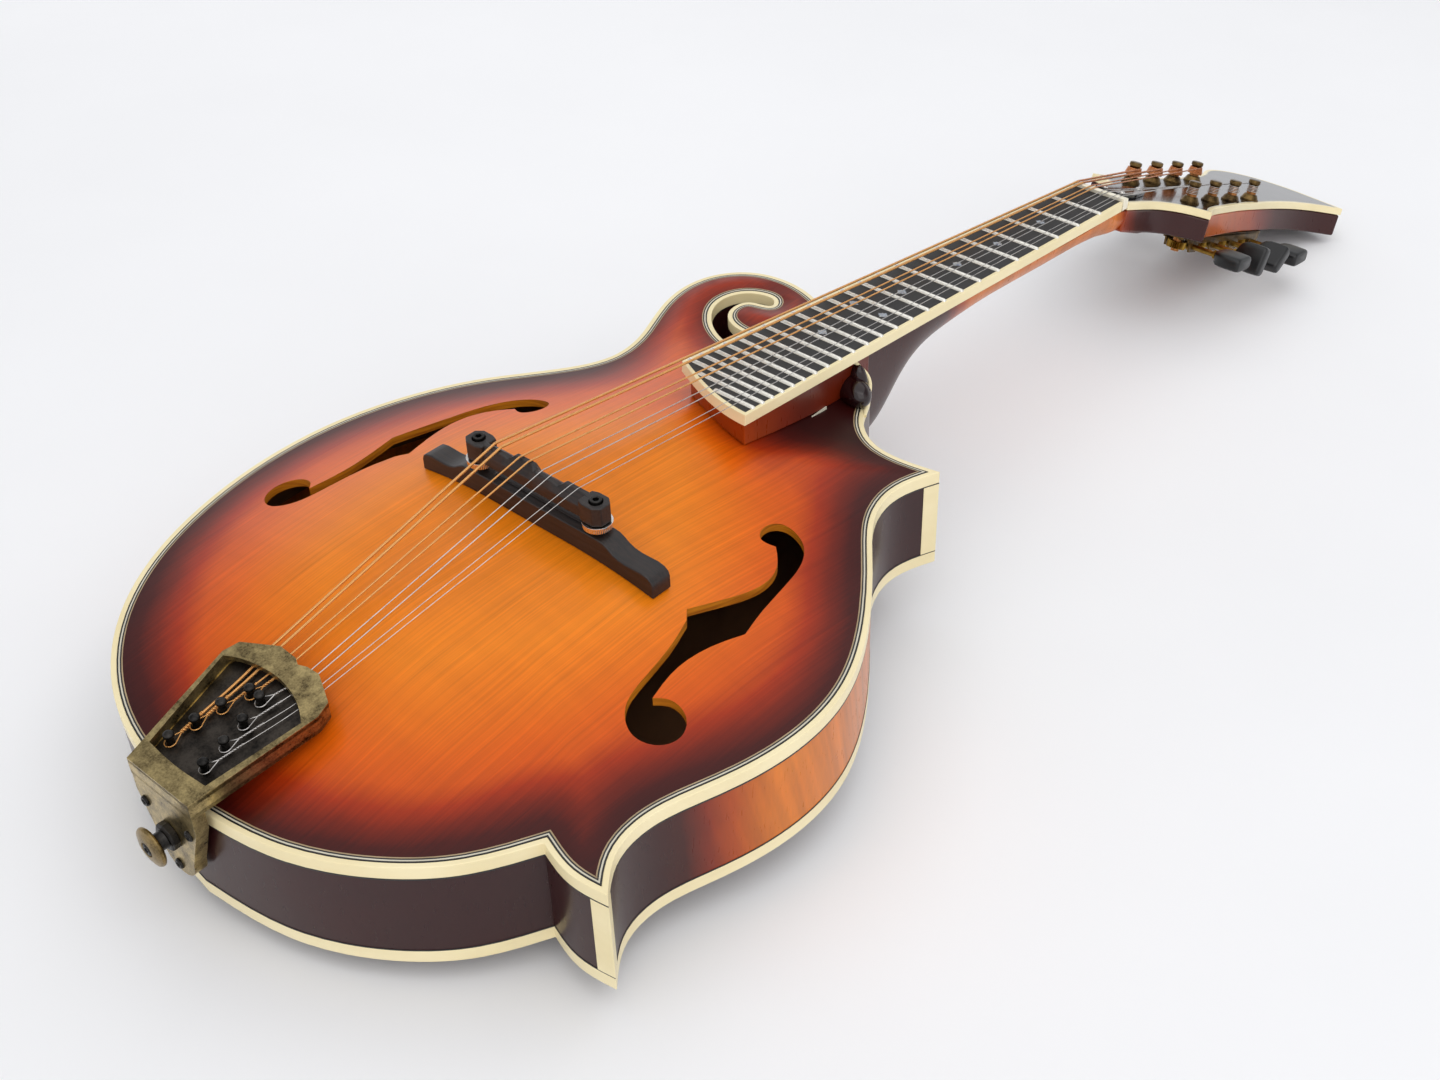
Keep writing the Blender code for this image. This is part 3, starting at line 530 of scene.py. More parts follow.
def antique(name, bright, dark, rough, share):
    """Mottled plating, darker where it is worn less."""
    look = Look(name, Metallic=0.92)
    blotch = look.noise((130, 130, 130), 6.0, 0.7)
    grit = look.noise((1500, 1500, 1500), 3.0, 0.6)
    mixed = look.math("ADD", look.math("MULTIPLY", blotch, 0.75), look.math("MULTIPLY", grit, 0.25))
    colour = look.ramp(mixed, [(share - 0.16, dark), (share + 0.1, bright)])
    return look.finish(colour, look.span(blotch, *rough), mixed, 0.15, 0.0002)


def wound(name, first, second):
    """Wire wrap: rings along the mark run, in millimetres."""
    look = Look(name, Metallic=0.6)
    ring = look.math("SINE", look.math("MULTIPLY", look.mark("run"), 2 * math.pi / 0.42))
    ring = look.span(ring, 0.5, 1.0)
    colour = look.ramp(ring, [(0.1, second), (0.75, first)])
    return look.finish(colour, look.span(look.noise((900, 90, 900)), 0.22, 0.34), ring, 0.5, 0.0001)


def pearl():
    look = Look("pearl", Coat_Weight=0.8, Coat_Roughness=0.05)
    swirl = look.noise((500, 300, 500), 3.0, 0.7)
    stops = [
        (0.3, tone(92, 104, 132)),
        (0.42, tone(168, 178, 186)),
        (0.52, tone(140, 142, 150)),
        (0.62, tone(196, 198, 190)),
        (0.72, tone(112, 148, 138)),
    ]
    return look.finish(look.ramp(swirl, stops), look.span(swirl, 0.12, 0.28))


SPRUCE = sunburst_spruce()
SIDE = burst_maple("burst_maple_side", 150)
BACK = burst_maple("burst_maple_back", 110)
NECK = burst_maple("burst_maple_neck", 90)
EDGE_WOOD = plain("f_hole_edge", tone(158, 84, 14), tone(214, 132, 26), (60, 60, 900), (0.45, 0.6))
RAW = plain("raw_wood", tone(96, 62, 38), tone(122, 82, 50), (40, 8, 300), (0.7, 0.85), 0.2)
CREAM = plain("cream_binding", tone(236, 219, 170), tone(246, 231, 186), (30, 30, 60), (0.26, 0.36), 0.03)
TAN = plain("tan_line", tone(150, 128, 96), tone(176, 152, 116), (90, 90, 90), (0.35, 0.45))
WHITE_LINE = plain("white_line", tone(196, 190, 170), tone(214, 208, 188), (90, 90, 90), (0.3, 0.4))
BLACK_LINE = plain("black_line", tone(26, 25, 26), tone(38, 36, 36), (90, 90, 90), (0.35, 0.45))
EBONY = plain("ebony_board", tone(22, 21, 22), tone(42, 39, 37), (1400, 60, 300), (0.42, 0.55), 0.2)
BRIDGE_EBONY = plain("ebony_bridge", tone(22, 20, 20), tone(48, 38, 34), (60, 1500, 900), (0.4, 0.55), 0.3)
GLOSS_BLACK = plain("gloss_black", tone(9, 9, 10), tone(15, 15, 16), (80, 80, 80), (0.08, 0.16), 0.02)
BUTTON_BLACK = plain("button_black", tone(9, 9, 10), tone(20, 20, 21), (300, 300, 300), (0.3, 0.42), 0.06)
SHOULDER = plain("dark_shoulder", tone(30, 12, 14), tone(42, 16, 16), (60, 60, 60), (0.1, 0.18), 0.02)
BONE = plain("bone", tone(236, 228, 204), tone(244, 238, 218), (200, 60, 200), (0.25, 0.35))
BRONZE = antique("antique_bronze", tone(194, 172, 120), tone(66, 54, 37), (0.22, 0.36), 0.5)
KNOB = antique("knob_bronze", tone(148, 126, 84), tone(66, 54, 34), (0.22, 0.34), 0.48)
DARK_BRONZE = antique("dark_bronze", tone(122, 98, 60), tone(46, 36, 25), (0.26, 0.4), 0.52)
BED = antique("tail_bed", tone(78, 72, 66), tone(26, 25, 24), (0.34, 0.5), 0.5)
POST = antique("post_bronze", tone(172, 116, 70), tone(92, 60, 36), (0.26, 0.4), 0.5)
DARK_STEEL = antique("dark_steel", tone(58, 56, 54), tone(20, 20, 20), (0.3, 0.4), 0.5)
NICKEL = metal("nickel", tone(214, 210, 204), tone(232, 229, 224), (900, 900, 900), (0.16, 0.26))
# Fret wire: nickel colour that is only half metallic, so that its near-white diffuse part paints in the
# bright sheen the wire would reflect.
FRET_AND_SHEEN = metal("fret_wire_and_painted_sheen", tone(226, 222, 210), tone(246, 243, 234), (90, 900, 900), (0.22, 0.32), 0.5)
WIRE = metal("plain_steel", tone(178, 174, 170), tone(208, 204, 200), (900, 60, 900), (0.22, 0.34), 0.9)
WORM = metal("worm_brass", tone(122, 94, 42), tone(158, 126, 62), (500, 500, 500), (0.25, 0.4), 1.0, 0.06)
WOUND = wound("bronze_wound", tone(246, 186, 112), tone(178, 112, 56))
COPPER = wound("copper_wrap", tone(224, 146, 92), tone(140, 78, 42))
PEARL = pearl()

INNER_WOOD = ["head_block", "tail_block", "lower_point_block", "upper_point_block"]
INNER_WOOD += [f"{edge}_lining_{side}" for edge in ("top", "back") for side in ("bass", "treble")]
INNER_WOOD += ["bass_tone_bar", "treble_tone_bar"]
for node in [*INNER_WOOD, "truss_rod"]:
    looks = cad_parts[node].data.materials
    looks.clear()
    looks.append(DARK_STEEL if node == "truss_rod" else RAW)

# Body outline, counterclockwise from the tail.
LOWER_TIP = np.array([122.0, -444.5])
UPPER_TIP = np.array([74.0, -222.5])
BODY_RUNS = [
    [(-2, -500.5), (36, -494.3), (64, -480), (82, -463), (94, -442.5)],
    [(94, -442.5), (107, -445.8), LOWER_TIP],
    [LOWER_TIP, (112.5, -431), (110.4, -416), (116.5, -393), (122.6, -365), (120.5, -337)]
    + [(107.5, -308), (84, -275.5), (71, -256), (68.3, -241), UPPER_TIP],
    [UPPER_TIP, (58, -225), (46, -224), (33.5, -216), (27, -206), (22, -197), (14.5, -190.5)],
    [(14.5, -190.5), (-14.5, -190.5)],
    [(-14.5, -190.5), (-19, -196.5), (-27, -204), (-41, -206), (-54, -202), (-64, -194)]
    + [(-69.5, -182), (-66.5, -172), (-58, -167), (-52, -168), (-50.2, -171.5)]
    + [(-54, -173.5), (-60, -176), (-62, -182), (-58.5, -190), (-48, -194.5), (-36, -193)]
    + [(-27, -187), (-23.5, -177), (-28, -164), (-42, -155), (-58, -152), (-74, -155.5)]
    + [(-86, -168), (-89.3, -184), (-84, -206), (-75.5, -228), (-74.5, -241), (-85, -263)]
    + [(-103, -287), (-117.5, -316), (-124.8, -345), (-126, -370), (-120, -408)]
    + [(-103, -447), (-80, -473), (-44, -493), (-2, -500.5)],
]
BODY = outline(BODY_RUNS, 0.06, 3.2)
LOWER_OUT = np.array([0.905, -0.426])
UPPER_OUT = np.array([0.822, 0.569])


def body_arch(at, height):
    """Height of the carved arch above the rim."""
    reach = np.clip((nearest(at, BODY)[0] - ARCH_START) / ARCH_REACH, 0, 1)
    return height * np.sin(np.pi / 2 * reach) ** 1.3


def top_surface(at):
    return body_arch(np.asarray(at)[:, :2], TOP_ARCH)


def back_surface(at):
    return -BODY_DEPTH - body_arch(np.asarray(at)[:, :2], BACK_ARCH)


def top_height(x, y):
    return float(top_surface(np.array([[x, y]]))[0])


def edge_distance(points):
    return nearest(points[:, :2], BODY)[0]


def edge_and_shade_mark(points):
    """Distance from the edge, made smaller around the board's end to paint in shade there, and larger over
    the scroll, which turns the burst lighter there.
    """
    x, y = points[:, 0], points[:, 1]
    off_board = np.hypot(np.maximum(np.abs(x) - 17, 0), np.maximum(-266 - y, 0))
    # Painted shade: darkens the top around the board's end, reaching further on the treble side.
    board_end_shade = 17.0 * (1 - ease(0, 26, off_board)) + 8.0 * (1 - ease(6, 40, off_board)) * ease(-6, 6, x)
    return edge_distance(points) - board_end_shade + 10.0 * ease(-262, -222, y) * (1 - ease(-12, 6, x))


def arc_mark(points):
    return nearest(points[:, :2], BODY)[1]


def blunt(loop, depth):
    """Loop with both points cut off square this far behind their tips."""
    loop = clip(loop, LOWER_TIP - LOWER_OUT * depth, LOWER_OUT)
    return clip(loop, UPPER_TIP - UPPER_OUT * depth, UPPER_OUT)


F_RUNS = [
    [(69, -353.5), (72.5, -364.5), (75.5, -382), (79, -392.5), (87, -397.5), (95, -394)]
    + [(97.3, -387), (93, -380.5), (86, -380), (82, -383.4)],
    [(82, -383.4), (79.8, -371), (81, -356), (84.4, -342.6)],
    [(84.4, -342.6), (80.5, -329), (76.5, -312), (71, -297), (63.5, -290), (55, -289.8)]
    + [(52.8, -296), (57, -302.5), (62, -301)],
    [(62, -301), (69.5, -309.5), (72.4, -321), (70.5, -334), (65.7, -349.7)],
    [(65.7, -349.7), (69, -353.5)],
]
TREBLE_F = outline(F_RUNS, 0.05, 0.6)[::-1]
BASS_F = (TREBLE_F * (-1, 1) + (2 * BODY_LEAN, 0))[::-1]

# Carved top with its purfling lines and cream binding.
top_loop = inset(BODY, 3.9)
f_holes = [TREBLE_F, BASS_F]
grid = field(top_loop, f_holes, 5.0, 2.2)
top_loops = [top_loop, *f_holes]
spruce = sheet(top_loops, lambda at: top_surface(at) - TOP_SHOWN, top_surface, grid, wall=1, under=2)
looks = [SPRUCE, EDGE_WOOD, RAW]
# The edge mark also paints shade on the spruce around the board's end.
piece("carved_top", [spruce], looks, stands_for="soundboard", marks={"edge": edge_and_shade_mark})

lines = []
for start, end, number in ((2.02, 2.5, 0), (2.5, 3.0, 1), (3.0, 3.5, 0), (3.5, 3.92, 2)):
    ring = sheet([inset(BODY, start), inset(BODY, end)], -1.5, lambda at: top_surface(at) + 0.02)
    lines.append((ring[0], ring[1], [number] * len(ring[2])))
piece("top_purfling", lines, [BLACK_LINE, WHITE_LINE, TAN])
ring = sheet([BODY, inset(BODY, BINDING_WIDTH)], -BINDING_HEIGHT, 0.02)
piece("top_edge", [ring], CREAM, stands_for="top_binding", bevel=0.35)
low_edge = -BODY_DEPTH + BINDING_HEIGHT
ring = sheet([BODY, inset(BODY, BINDING_WIDTH)], -BODY_DEPTH, low_edge)
piece("back_edge", [ring], CREAM, stands_for="back_binding", bevel=0.35)
seams = []
for low, high in ((-BINDING_HEIGHT - 0.55, -BINDING_HEIGHT), (low_edge, low_edge + 0.55)):
    seams.append(sheet([inset(BODY, 0.06), inset(BODY, 1.7)], low, high))
piece("side_lines", seams, BLACK_LINE)


# Sides, back and the cream strips down the points.
def side_burst(points):
    x, y = points[:, 0], points[:, 1]
    treble = ease(-420, -366, y) * (1 - ease(-300, -262, y))
    bass = ease(-440, -385, y) * (1 - ease(-300, -255, y))
    return np.where(x > 0, treble, bass)


rib_low, rib_high = low_edge + 0.3, -BINDING_HEIGHT - 0.3
ribs = sheet([blunt(inset(BODY, 0.2), POINT_CUT), blunt(inset(BODY, 2.2), POINT_CUT + 3)], rib_low, rib_high)
marks = {"burst": side_burst, "arc": arc_mark}
piece("sides", [ribs], SIDE, stands_for="rim", marks=marks)
for name, tip, out in (
    ("lower_point_protector", LOWER_TIP, LOWER_OUT),
    ("upper_point_protector", UPPER_TIP, UPPER_OUT),
):
    wedge = clip(BODY, tip - out * POINT_CUT, -out)
    wedge = wedge[np.linalg.norm(wedge - tip, axis=1) < 20]
    strip = sheet([wedge], rib_low, rib_high)
    piece(name + "_strip", [strip], CREAM, stands_for=name, bevel=0.25)

back_loop = inset(BODY, BINDING_WIDTH + 0.05)
grid = field(back_loop, [], 9.0, 3.0)
maple = sheet([back_loop], back_surface, lambda at: back_surface(at) + PLATE, grid, wall=1, under=1)
marks = {"burst": lambda p: ease(8, 62, edge_distance(p)), "arc": lambda p: p[:, 1]}
piece("carved_back", [maple], [RAW, BACK], stands_for="back_plate", marks=marks)


# Dark shoulder beside the board, with the binding climbing over it.
def dome(centre, radii, turn):
    """Ellipsoid of the three radii, turned about its upright axis."""
    rows, count = 14, 28
    rings = []
    for i in range(1, rows):
        a = math.pi * i / rows
        ring = []
        for j in range(count):
            t = 2 * math.pi * j / count
            u, v = radii[0] * math.sin(a) * math.cos(t), radii[1] * math.sin(a) * math.sin(t)
            x, y = u * math.cos(turn) - v * math.sin(turn), u * math.sin(turn) + v * math.cos(turn)
            ring.append((centre[0] + x, centre[1] + y, centre[2] + radii[2] * math.cos(a)))
        rings.append(ring)
    return loft(rings)


climb = [(30.0, -211.0, -0.5), (27.2, -206.6, 0.6), (25.3, -202.9, 2.2), (23.6, -199.6, 4.2)]
climb = smooth(climb + [(22.2, -198.7, 7.2), (20.0, -200.0, 11.0), (17.2, -201.7, 14.4)])
lump = dome((20.0, -205.2, 4.0), (9.8, 6.0, 5.6), math.radians(-25))
ridge = dome((19.0, -201.6, 4.0), (4.6, 3.6, 9.6), 0.0)
piece("shoulder", [lump, ridge], SHOULDER, sharp=50)
piece("shoulder_line", [tube(climb, 0.8, 8)], CREAM)


# Fingerboard: board, binding, frets and pearl marks.
def end_line(x):
    """Where the board ends toward the bridge, curving from bass to treble."""
    t = (x + BOARD_END_HALF) / (2 * BOARD_END_HALF)
    return -256.2 - 13.9 * math.sin(math.pi / 2 * min(max(t, 0.0), 1.0))


def board_loop(trim, nut_end):
    xs = np.linspace(-BOARD_END_HALF + trim, BOARD_END_HALF - trim, 33)
    end = [(x, end_line(x) + trim * 1.15) for x in xs]
    half = board_half(nut_end) - trim
    return np.array([(-half, nut_end)] + end + [(half, nut_end)])


board_low, board_high = -FRET_HEIGHT - BOARD_THICK, -FRET_HEIGHT
board = sheet([board_loop(1.55, -0.4)], board_low, board_high + 0.02, turn=on_board)
piece("board", [board], EBONY, stands_for="fingerboard")
rim_path = np.vstack([board_loop(0, -0.4), board_loop(1.6, -0.4)[::-1]])
band = sheet([rim_path], board_low, board_high + 0.04, turn=on_board)
piece("board_edge", [band], CREAM, stands_for="fingerboard_binding", bevel=0.3)

frets = []
for number in range(1, 25):
    y = -fret_distance(number)
    half = board_half(y) - 0.35
    right = min(half, BOARD_END_HALF - 0.8)
    left = -half
    while end_line(left) + 2.2 > y and left < right - 4:
        left += 0.3
    rings = []
    for x, size in ((left, 0.35), (left + 0.35, 0.8), (left + 0.8, 1.0)):
        rings.append((x, size))
    rings += [(right - 0.8, 1.0), (right - 0.35, 0.8), (right, 0.35)]
    crown = []
    for x, size in rings:
        turns = [math.pi * k / 8 for k in range(9)]
        arc = [(y + 0.95 * math.cos(t), -1.1 + 1.1 * size * math.sin(t)) for t in turns]
        crown.append([on_board(x, a, n) for a, n in arc])
    frets.append(loft(crown))
piece("fret_wires", frets, FRET_AND_SHEEN)

marks_at = [(3, 0), (5, 0), (7, 0), (10, 0), (12, -7.4), (12, 7.4), (15, 0)]
dots = []
for number, x in marks_at:
    y = -(fret_distance(number) + fret_distance(number - 1)) / 2
    star = []
    for k in range(16):
        t = math.pi * k / 8
        reach = (2.5, 1.6, 2.0, 1.6)[k % 4]
        star.append((x + reach * math.cos(t), y + reach * 0.95 * math.sin(t)))
    dots.append(sheet([np.array(star)], board_high - 0.5, board_high + 0.05, turn=on_board))
piece("board_inlays", dots, PEARL)

SUPPORT = [(17, -192), (-17, -192), (-17.3, -205), (-17.6, -220), (-18, -240), (-18.3, -256)]
SUPPORT += [(-8, -261.5), (6, -266), (19, -268), (18.5, -250), (18, -235), (17.7, -220), (17.4, -205)]
SUPPORT = np.array(SUPPORT)


def support_top(at):
    return board_bottom(at[:, 1]) - 0.4


def support_foot(at):
    return np.minimum(top_surface(at) + 0.3, support_top(at) - 2.0)


grid = field(SUPPORT, [], 5.0, 2.0)
block = sheet([SUPPORT], support_foot, support_top, grid)
marks = {"burst": lambda p: 0.36 + 0.24 * ease(-235, -262, p[:, 1]), "arc": lambda p: p[:, 1]}
node = "fingerboard_support"
piece("board_support", [block], NECK, stands_for=node, bevel=0.5, marks=marks)
seam = sheet([np.array([(18.0, -233.5), (18.7, -233.5), (18.3, -219.5), (17.8, -219.5)])], 1.0, 3.4)
piece("support_seam", [seam], WHITE_LINE, bevel=0.1)


# Neck, headstock, nut.
def neck_ring(y, half, depth, drop):
    """Section of the neck, rounder along its length and squarer where it meets the headstock."""
    top = board_bottom(y) - 0.2
    power = 1.25 - 0.75 * ease(-14, 0, y)
    ring = [(half, y, top - drop)]
    for k in range(1, 32):
        a = math.pi * k / 32
        ring.append((half * math.cos(a), y, top - drop - depth * math.sin(a) ** power))
    ring.append((-half, y, top - drop))
    return ring


STATIONS = [
    (10.5, 12.7, 9.0, 3.8),
    (9.5, 12.8, 9.0, 3.4),
    (2.0, 13.4, 12.5, 0.7),
    (-25.0, 14.4, 12.9, 0),
    (-58.0, 15.3, 12.9, 0),
    (-90.0, 16.2, 12.9, 0),
    (-110.0, 16.8, 13.5, 0),
    (-122.0, 17.1, 14.8, 0),
    (-135.0, 17.4, 16.8, 0),
    (-148.0, 17.5, 20.6, 0),
    (-157.0, 17.2, 27.0, 0),
    (-163.0, 16.8, 34.8, 0),
    (-168.0, 16.4, 43.0, 0),
    (-174.0, 16.0, 50.8, 0),
    (-180.0, 15.7, 53.8, 0),
    (-190.2, 15.4, 54.8, 0),
]
shaft = loft([neck_ring(*station) for station in smooth(STATIONS, 3.0)])


def neck_burst(points):
    y = points[:, 1]
    middle = ease(-150, -116, y) * (1 - 0.9 * ease(-6, 12, y))
    return 0.08 + 0.88 * middle


marks = {"burst": neck_burst, "arc": lambda p: p[:, 1]}
piece("neck_shaft", [shaft], NECK, stands_for="neck", marks=marks, sharp=50)

HEAD_RUNS = [
    [(13.7, 0.6), (13.8, 14), (14.4, 26), (18, 38), (25, 46), (33, 49.5)],
    [(33, 49.5), (28.5, 60), (25.2, 80), (22.8, 105), (22.3, 130), (22.9, 155), (26, 176), (31.5, 191)]
    + [(38.5, 203)],
    [(38.5, 203), (28, 207), (16, 211.5), (2, 216), (-12, 217.5), (-24, 214.5), (-32.5, 206), (-36, 195)]
    + [(-35, 184), (-30, 170), (-25.5, 152), (-23, 130), (-22.8, 108), (-25, 82), (-28.5, 61), (-33, 49.5)],
    [(-33, 49.5), (-25, 46), (-18, 38), (-14.4, 26), (-13.8, 14), (-13.7, 0.6)],
    [(-13.7, 0.6), (13.7, 0.6)],
]
HEAD_LOOP = outline(HEAD_RUNS, 0.06, 2.5)
POSTS = [(side * POST_ROW, POST_FIRST + i * POST_PITCH) for side in (-1, 1) for i in range(4)]


def head_back(at):
    """Back of the headstock, eased up a little where it meets the neck."""
    return -HEAD_THICK + 1.2 * (1 - ease(0, 9, at[:, 1]))


core_loop = inset(HEAD_LOOP, 0.15)
grid = field(core_loop, [], 5.0, 2.0)
core = sheet([core_loop], head_back, -FACE_THICK - 0.1, grid, turn=head_point)


def head_burst(points):
    along = (points[:, 1] - 5.2) / math.cos(HEAD)
    side = ease(46, 58, along) * (1 - ease(100, 168, along))
    return 0.06 + 0.66 * side + 0.5 * (1 - ease(0, 18, along))


marks = {"burst": head_burst, "arc": lambda p: p[:, 1]}
piece("head_core", [core], NECK, bevel=1.2, marks=marks)
face = sheet([inset(HEAD_LOOP, BINDING_WIDTH + 0.5)], -FACE_THICK, 0.02, turn=head_point)
piece("head_face", [face], GLOSS_BLACK, stands_for="headstock_overlay", bevel=0.2)
ring = sheet([HEAD_LOOP, inset(HEAD_LOOP, BINDING_WIDTH)], -FACE_THICK, 0.04, turn=head_point)
piece("head_edge", [ring], CREAM, stands_for="headstock_binding", bevel=0.35)
ring = sheet([inset(HEAD_LOOP, 2.0), inset(HEAD_LOOP, 2.55)], -1.0, 0.05, turn=head_point)
piece("head_line", [ring], WHITE_LINE)
COVER_RUNS = [[(-7.5, 5), (7.5, 5)], [(7.5, 5), (8.5, 14), (6, 26), (3, 36), (0, 40)]]
COVER_RUNS += [[(0, 40), (-3, 36), (-6, 26), (-8.5, 14), (-7.5, 5)]]
bell = sheet([outline(COVER_RUNS, 0.08)], 0.1, 2.0, turn=head_point)
rod_screws = []
for x, s in ((0, 34.5), (-4.6, 9), (4.6, 9)):
    screw = [(1.5, 1.5), (1.5, 2.2), (1.0, 2.7), (0.4, 2.8)]
    rod_screws.append(lathe(screw, 16, lambda a, b, n, x=x, s=s: head_point(x + a, s + b, n), 1))
piece(
    "rod_cover",
    [bell, *rod_screws],
    [GLOSS_BLACK, NICKEL],
    stands_for="truss_rod_cover",
    bevel=0.35,
)
NUT = [(0, -5.6), (4.2, -5.6), (4.2, -0.9), (3.4, -0.3), (1.5, 0.45), (0.4, 0.5), (0, 0.3)]
nut_block = sheet([np.array(NUT)], -NUT_HALF, NUT_HALF, turn=lambda y, z, x: (x, y, z))
piece("nut_block", [nut_block], BONE, stands_for="nut", bevel=0.25)


# Bridge.
def upright(x):
    return lambda a, b, z: (x + a, SADDLE_Y + b, z)


def across_bridge(x, z, depth):
    return (x, SADDLE_Y + depth, z)


feet = [(x, top_height(x, SADDLE_Y)) for x in np.linspace(-56.2, 56.2, 41)]
feet = [(x, max(z, top_height(x, SADDLE_Y - 4), top_height(x, SADDLE_Y + 4)) + 0.1) for x, z in feet]
half_crest = [(56.2, 18.0), (56.2, 20.0), (55.6, 21.6), (54.0, 22.8), (51.0, 23.4), (47.5, 23.3)]
half_crest += [(44.0, 23.2), (41.0, 23.6), (38.5, 24.5), (36.2, 26.0), (34.0, 27.0), (31.5, 27.3), (0, 27.3)]
crest = half_crest + [(-x, z) for x, z in half_crest[-2::-1]]
base = sheet([np.array(feet + crest)], -4.3, 4.3, turn=across_bridge)
# The ridge stops short of the thumbwheels, which reach down to it when the saddle is lowest.
ridge = np.array([(-22, 26.9), (22, 26.9), (21, 27.75), (-21, 27.75)])
ridge = sheet([ridge], -1.1, 1.1, turn=across_bridge)
piece("bridge_foot", [base, ridge], BRIDGE_EBONY, stands_for="bridge_base", bevel=0.75)

crown = []
CREST = [(-25.5, 0.0, 39.1), (-23.0, -1.3, 39.3), (-14.6, -1.3, 39.4), (-12.4, 0.0, 37.9)]
CREST += [(-10.6, 1.3, 39.4), (-2.2, 1.3, 39.5), (-0.2, 0.0, 38.1), (1.8, -1.3, 39.5)]
CREST += [(9.2, -1.3, 39.5), (11.4, 0.0, 37.8), (13.4, 1.0, 39.4), (23.0, 1.0, 39.3), (25.5, 0.0, 39.1)]
for x, lean, top in CREST:
    ring = [(-3.1, 31.7), (3.1, 31.7), (3.1, 36.2), (lean + 1.0, top), (lean - 1.0, top), (-3.1, 36.2)]
    crown.append([(x, SADDLE_Y + y, z) for y, z in ring])
parts = [loft(crown)]
for x in (-POST_SPACING / 2, POST_SPACING / 2):
    side = math.copysign(1.0, x)
    boss = [(-5.2, -3.4), (-2.6, -4.3), (1.8, -4.3), (4.4, -2.2)]
    boss += [(a, -b) for a, b in boss[::-1]]
    boss = np.array([(side * a, b) for a, b in boss])
    boss = boss if side > 0 else boss[::-1]
    hole = circle(0, 0, 2.35, 24)
    parts.append(sheet([boss, hole], 31.7, 39.1, turn=upright(x)))
piece("bridge_top", parts, BRIDGE_EBONY, "saddle", "bridge_saddle", bevel=0.45)
for side, x in (("bass", -POST_SPACING / 2), ("treble", POST_SPACING / 2)):
    hexagon = circle(0, 0, 1.15, 6)
    sleeve = sheet([circle(0, 0, 2.05, 28), hexagon], 37.6, 39.9, turn=upright(x))
    shank = lathe([(2.0, 21.8), (2.0, 38.0)], 28, upright(x))
    node = side + "_bridge_post"
    piece(side + "_stud", [sleeve, shank], DARK_STEEL, stands_for=node, bevel=0.15)
    teeth = circle(0, 0, 5.1, 144)
    shrink = 1 - 0.035 * (np.arange(144) % 3 == 0)
    wheel = sheet([teeth * shrink[:, None], circle(0, 0, 2.3, 24)], 29.1, 30.9, turn=upright(x))
    flange = sheet([circle(0, 0, 5.3, 72), circle(0, 0, 2.3, 24)], 30.9, 31.4, turn=upright(x))
    wheel_parts = [wheel, flange]
    node = side + "_thumbwheel"
    piece(side + "_wheel_knurl", wheel_parts, NICKEL, side + "_wheel", node, bevel=0.12, sharp=20)


# Tuners: plates, gears, posts, worms and buttons.
def head_frame(x, s):
    return lambda a, b, n: head_point(x + a, s + b, n)


cones = []
for x, s in POSTS:
    cone = [(4.6, 0.0), (4.6, 0.6), (4.1, 1.2), (3.5, 2.4), (3.1, 3.0), (2.9, 3.1)]
    cones.append(lathe(cone, 32, head_frame(x, s)))
piece("ferrules", cones, DARK_BRONZE, sharp=30)

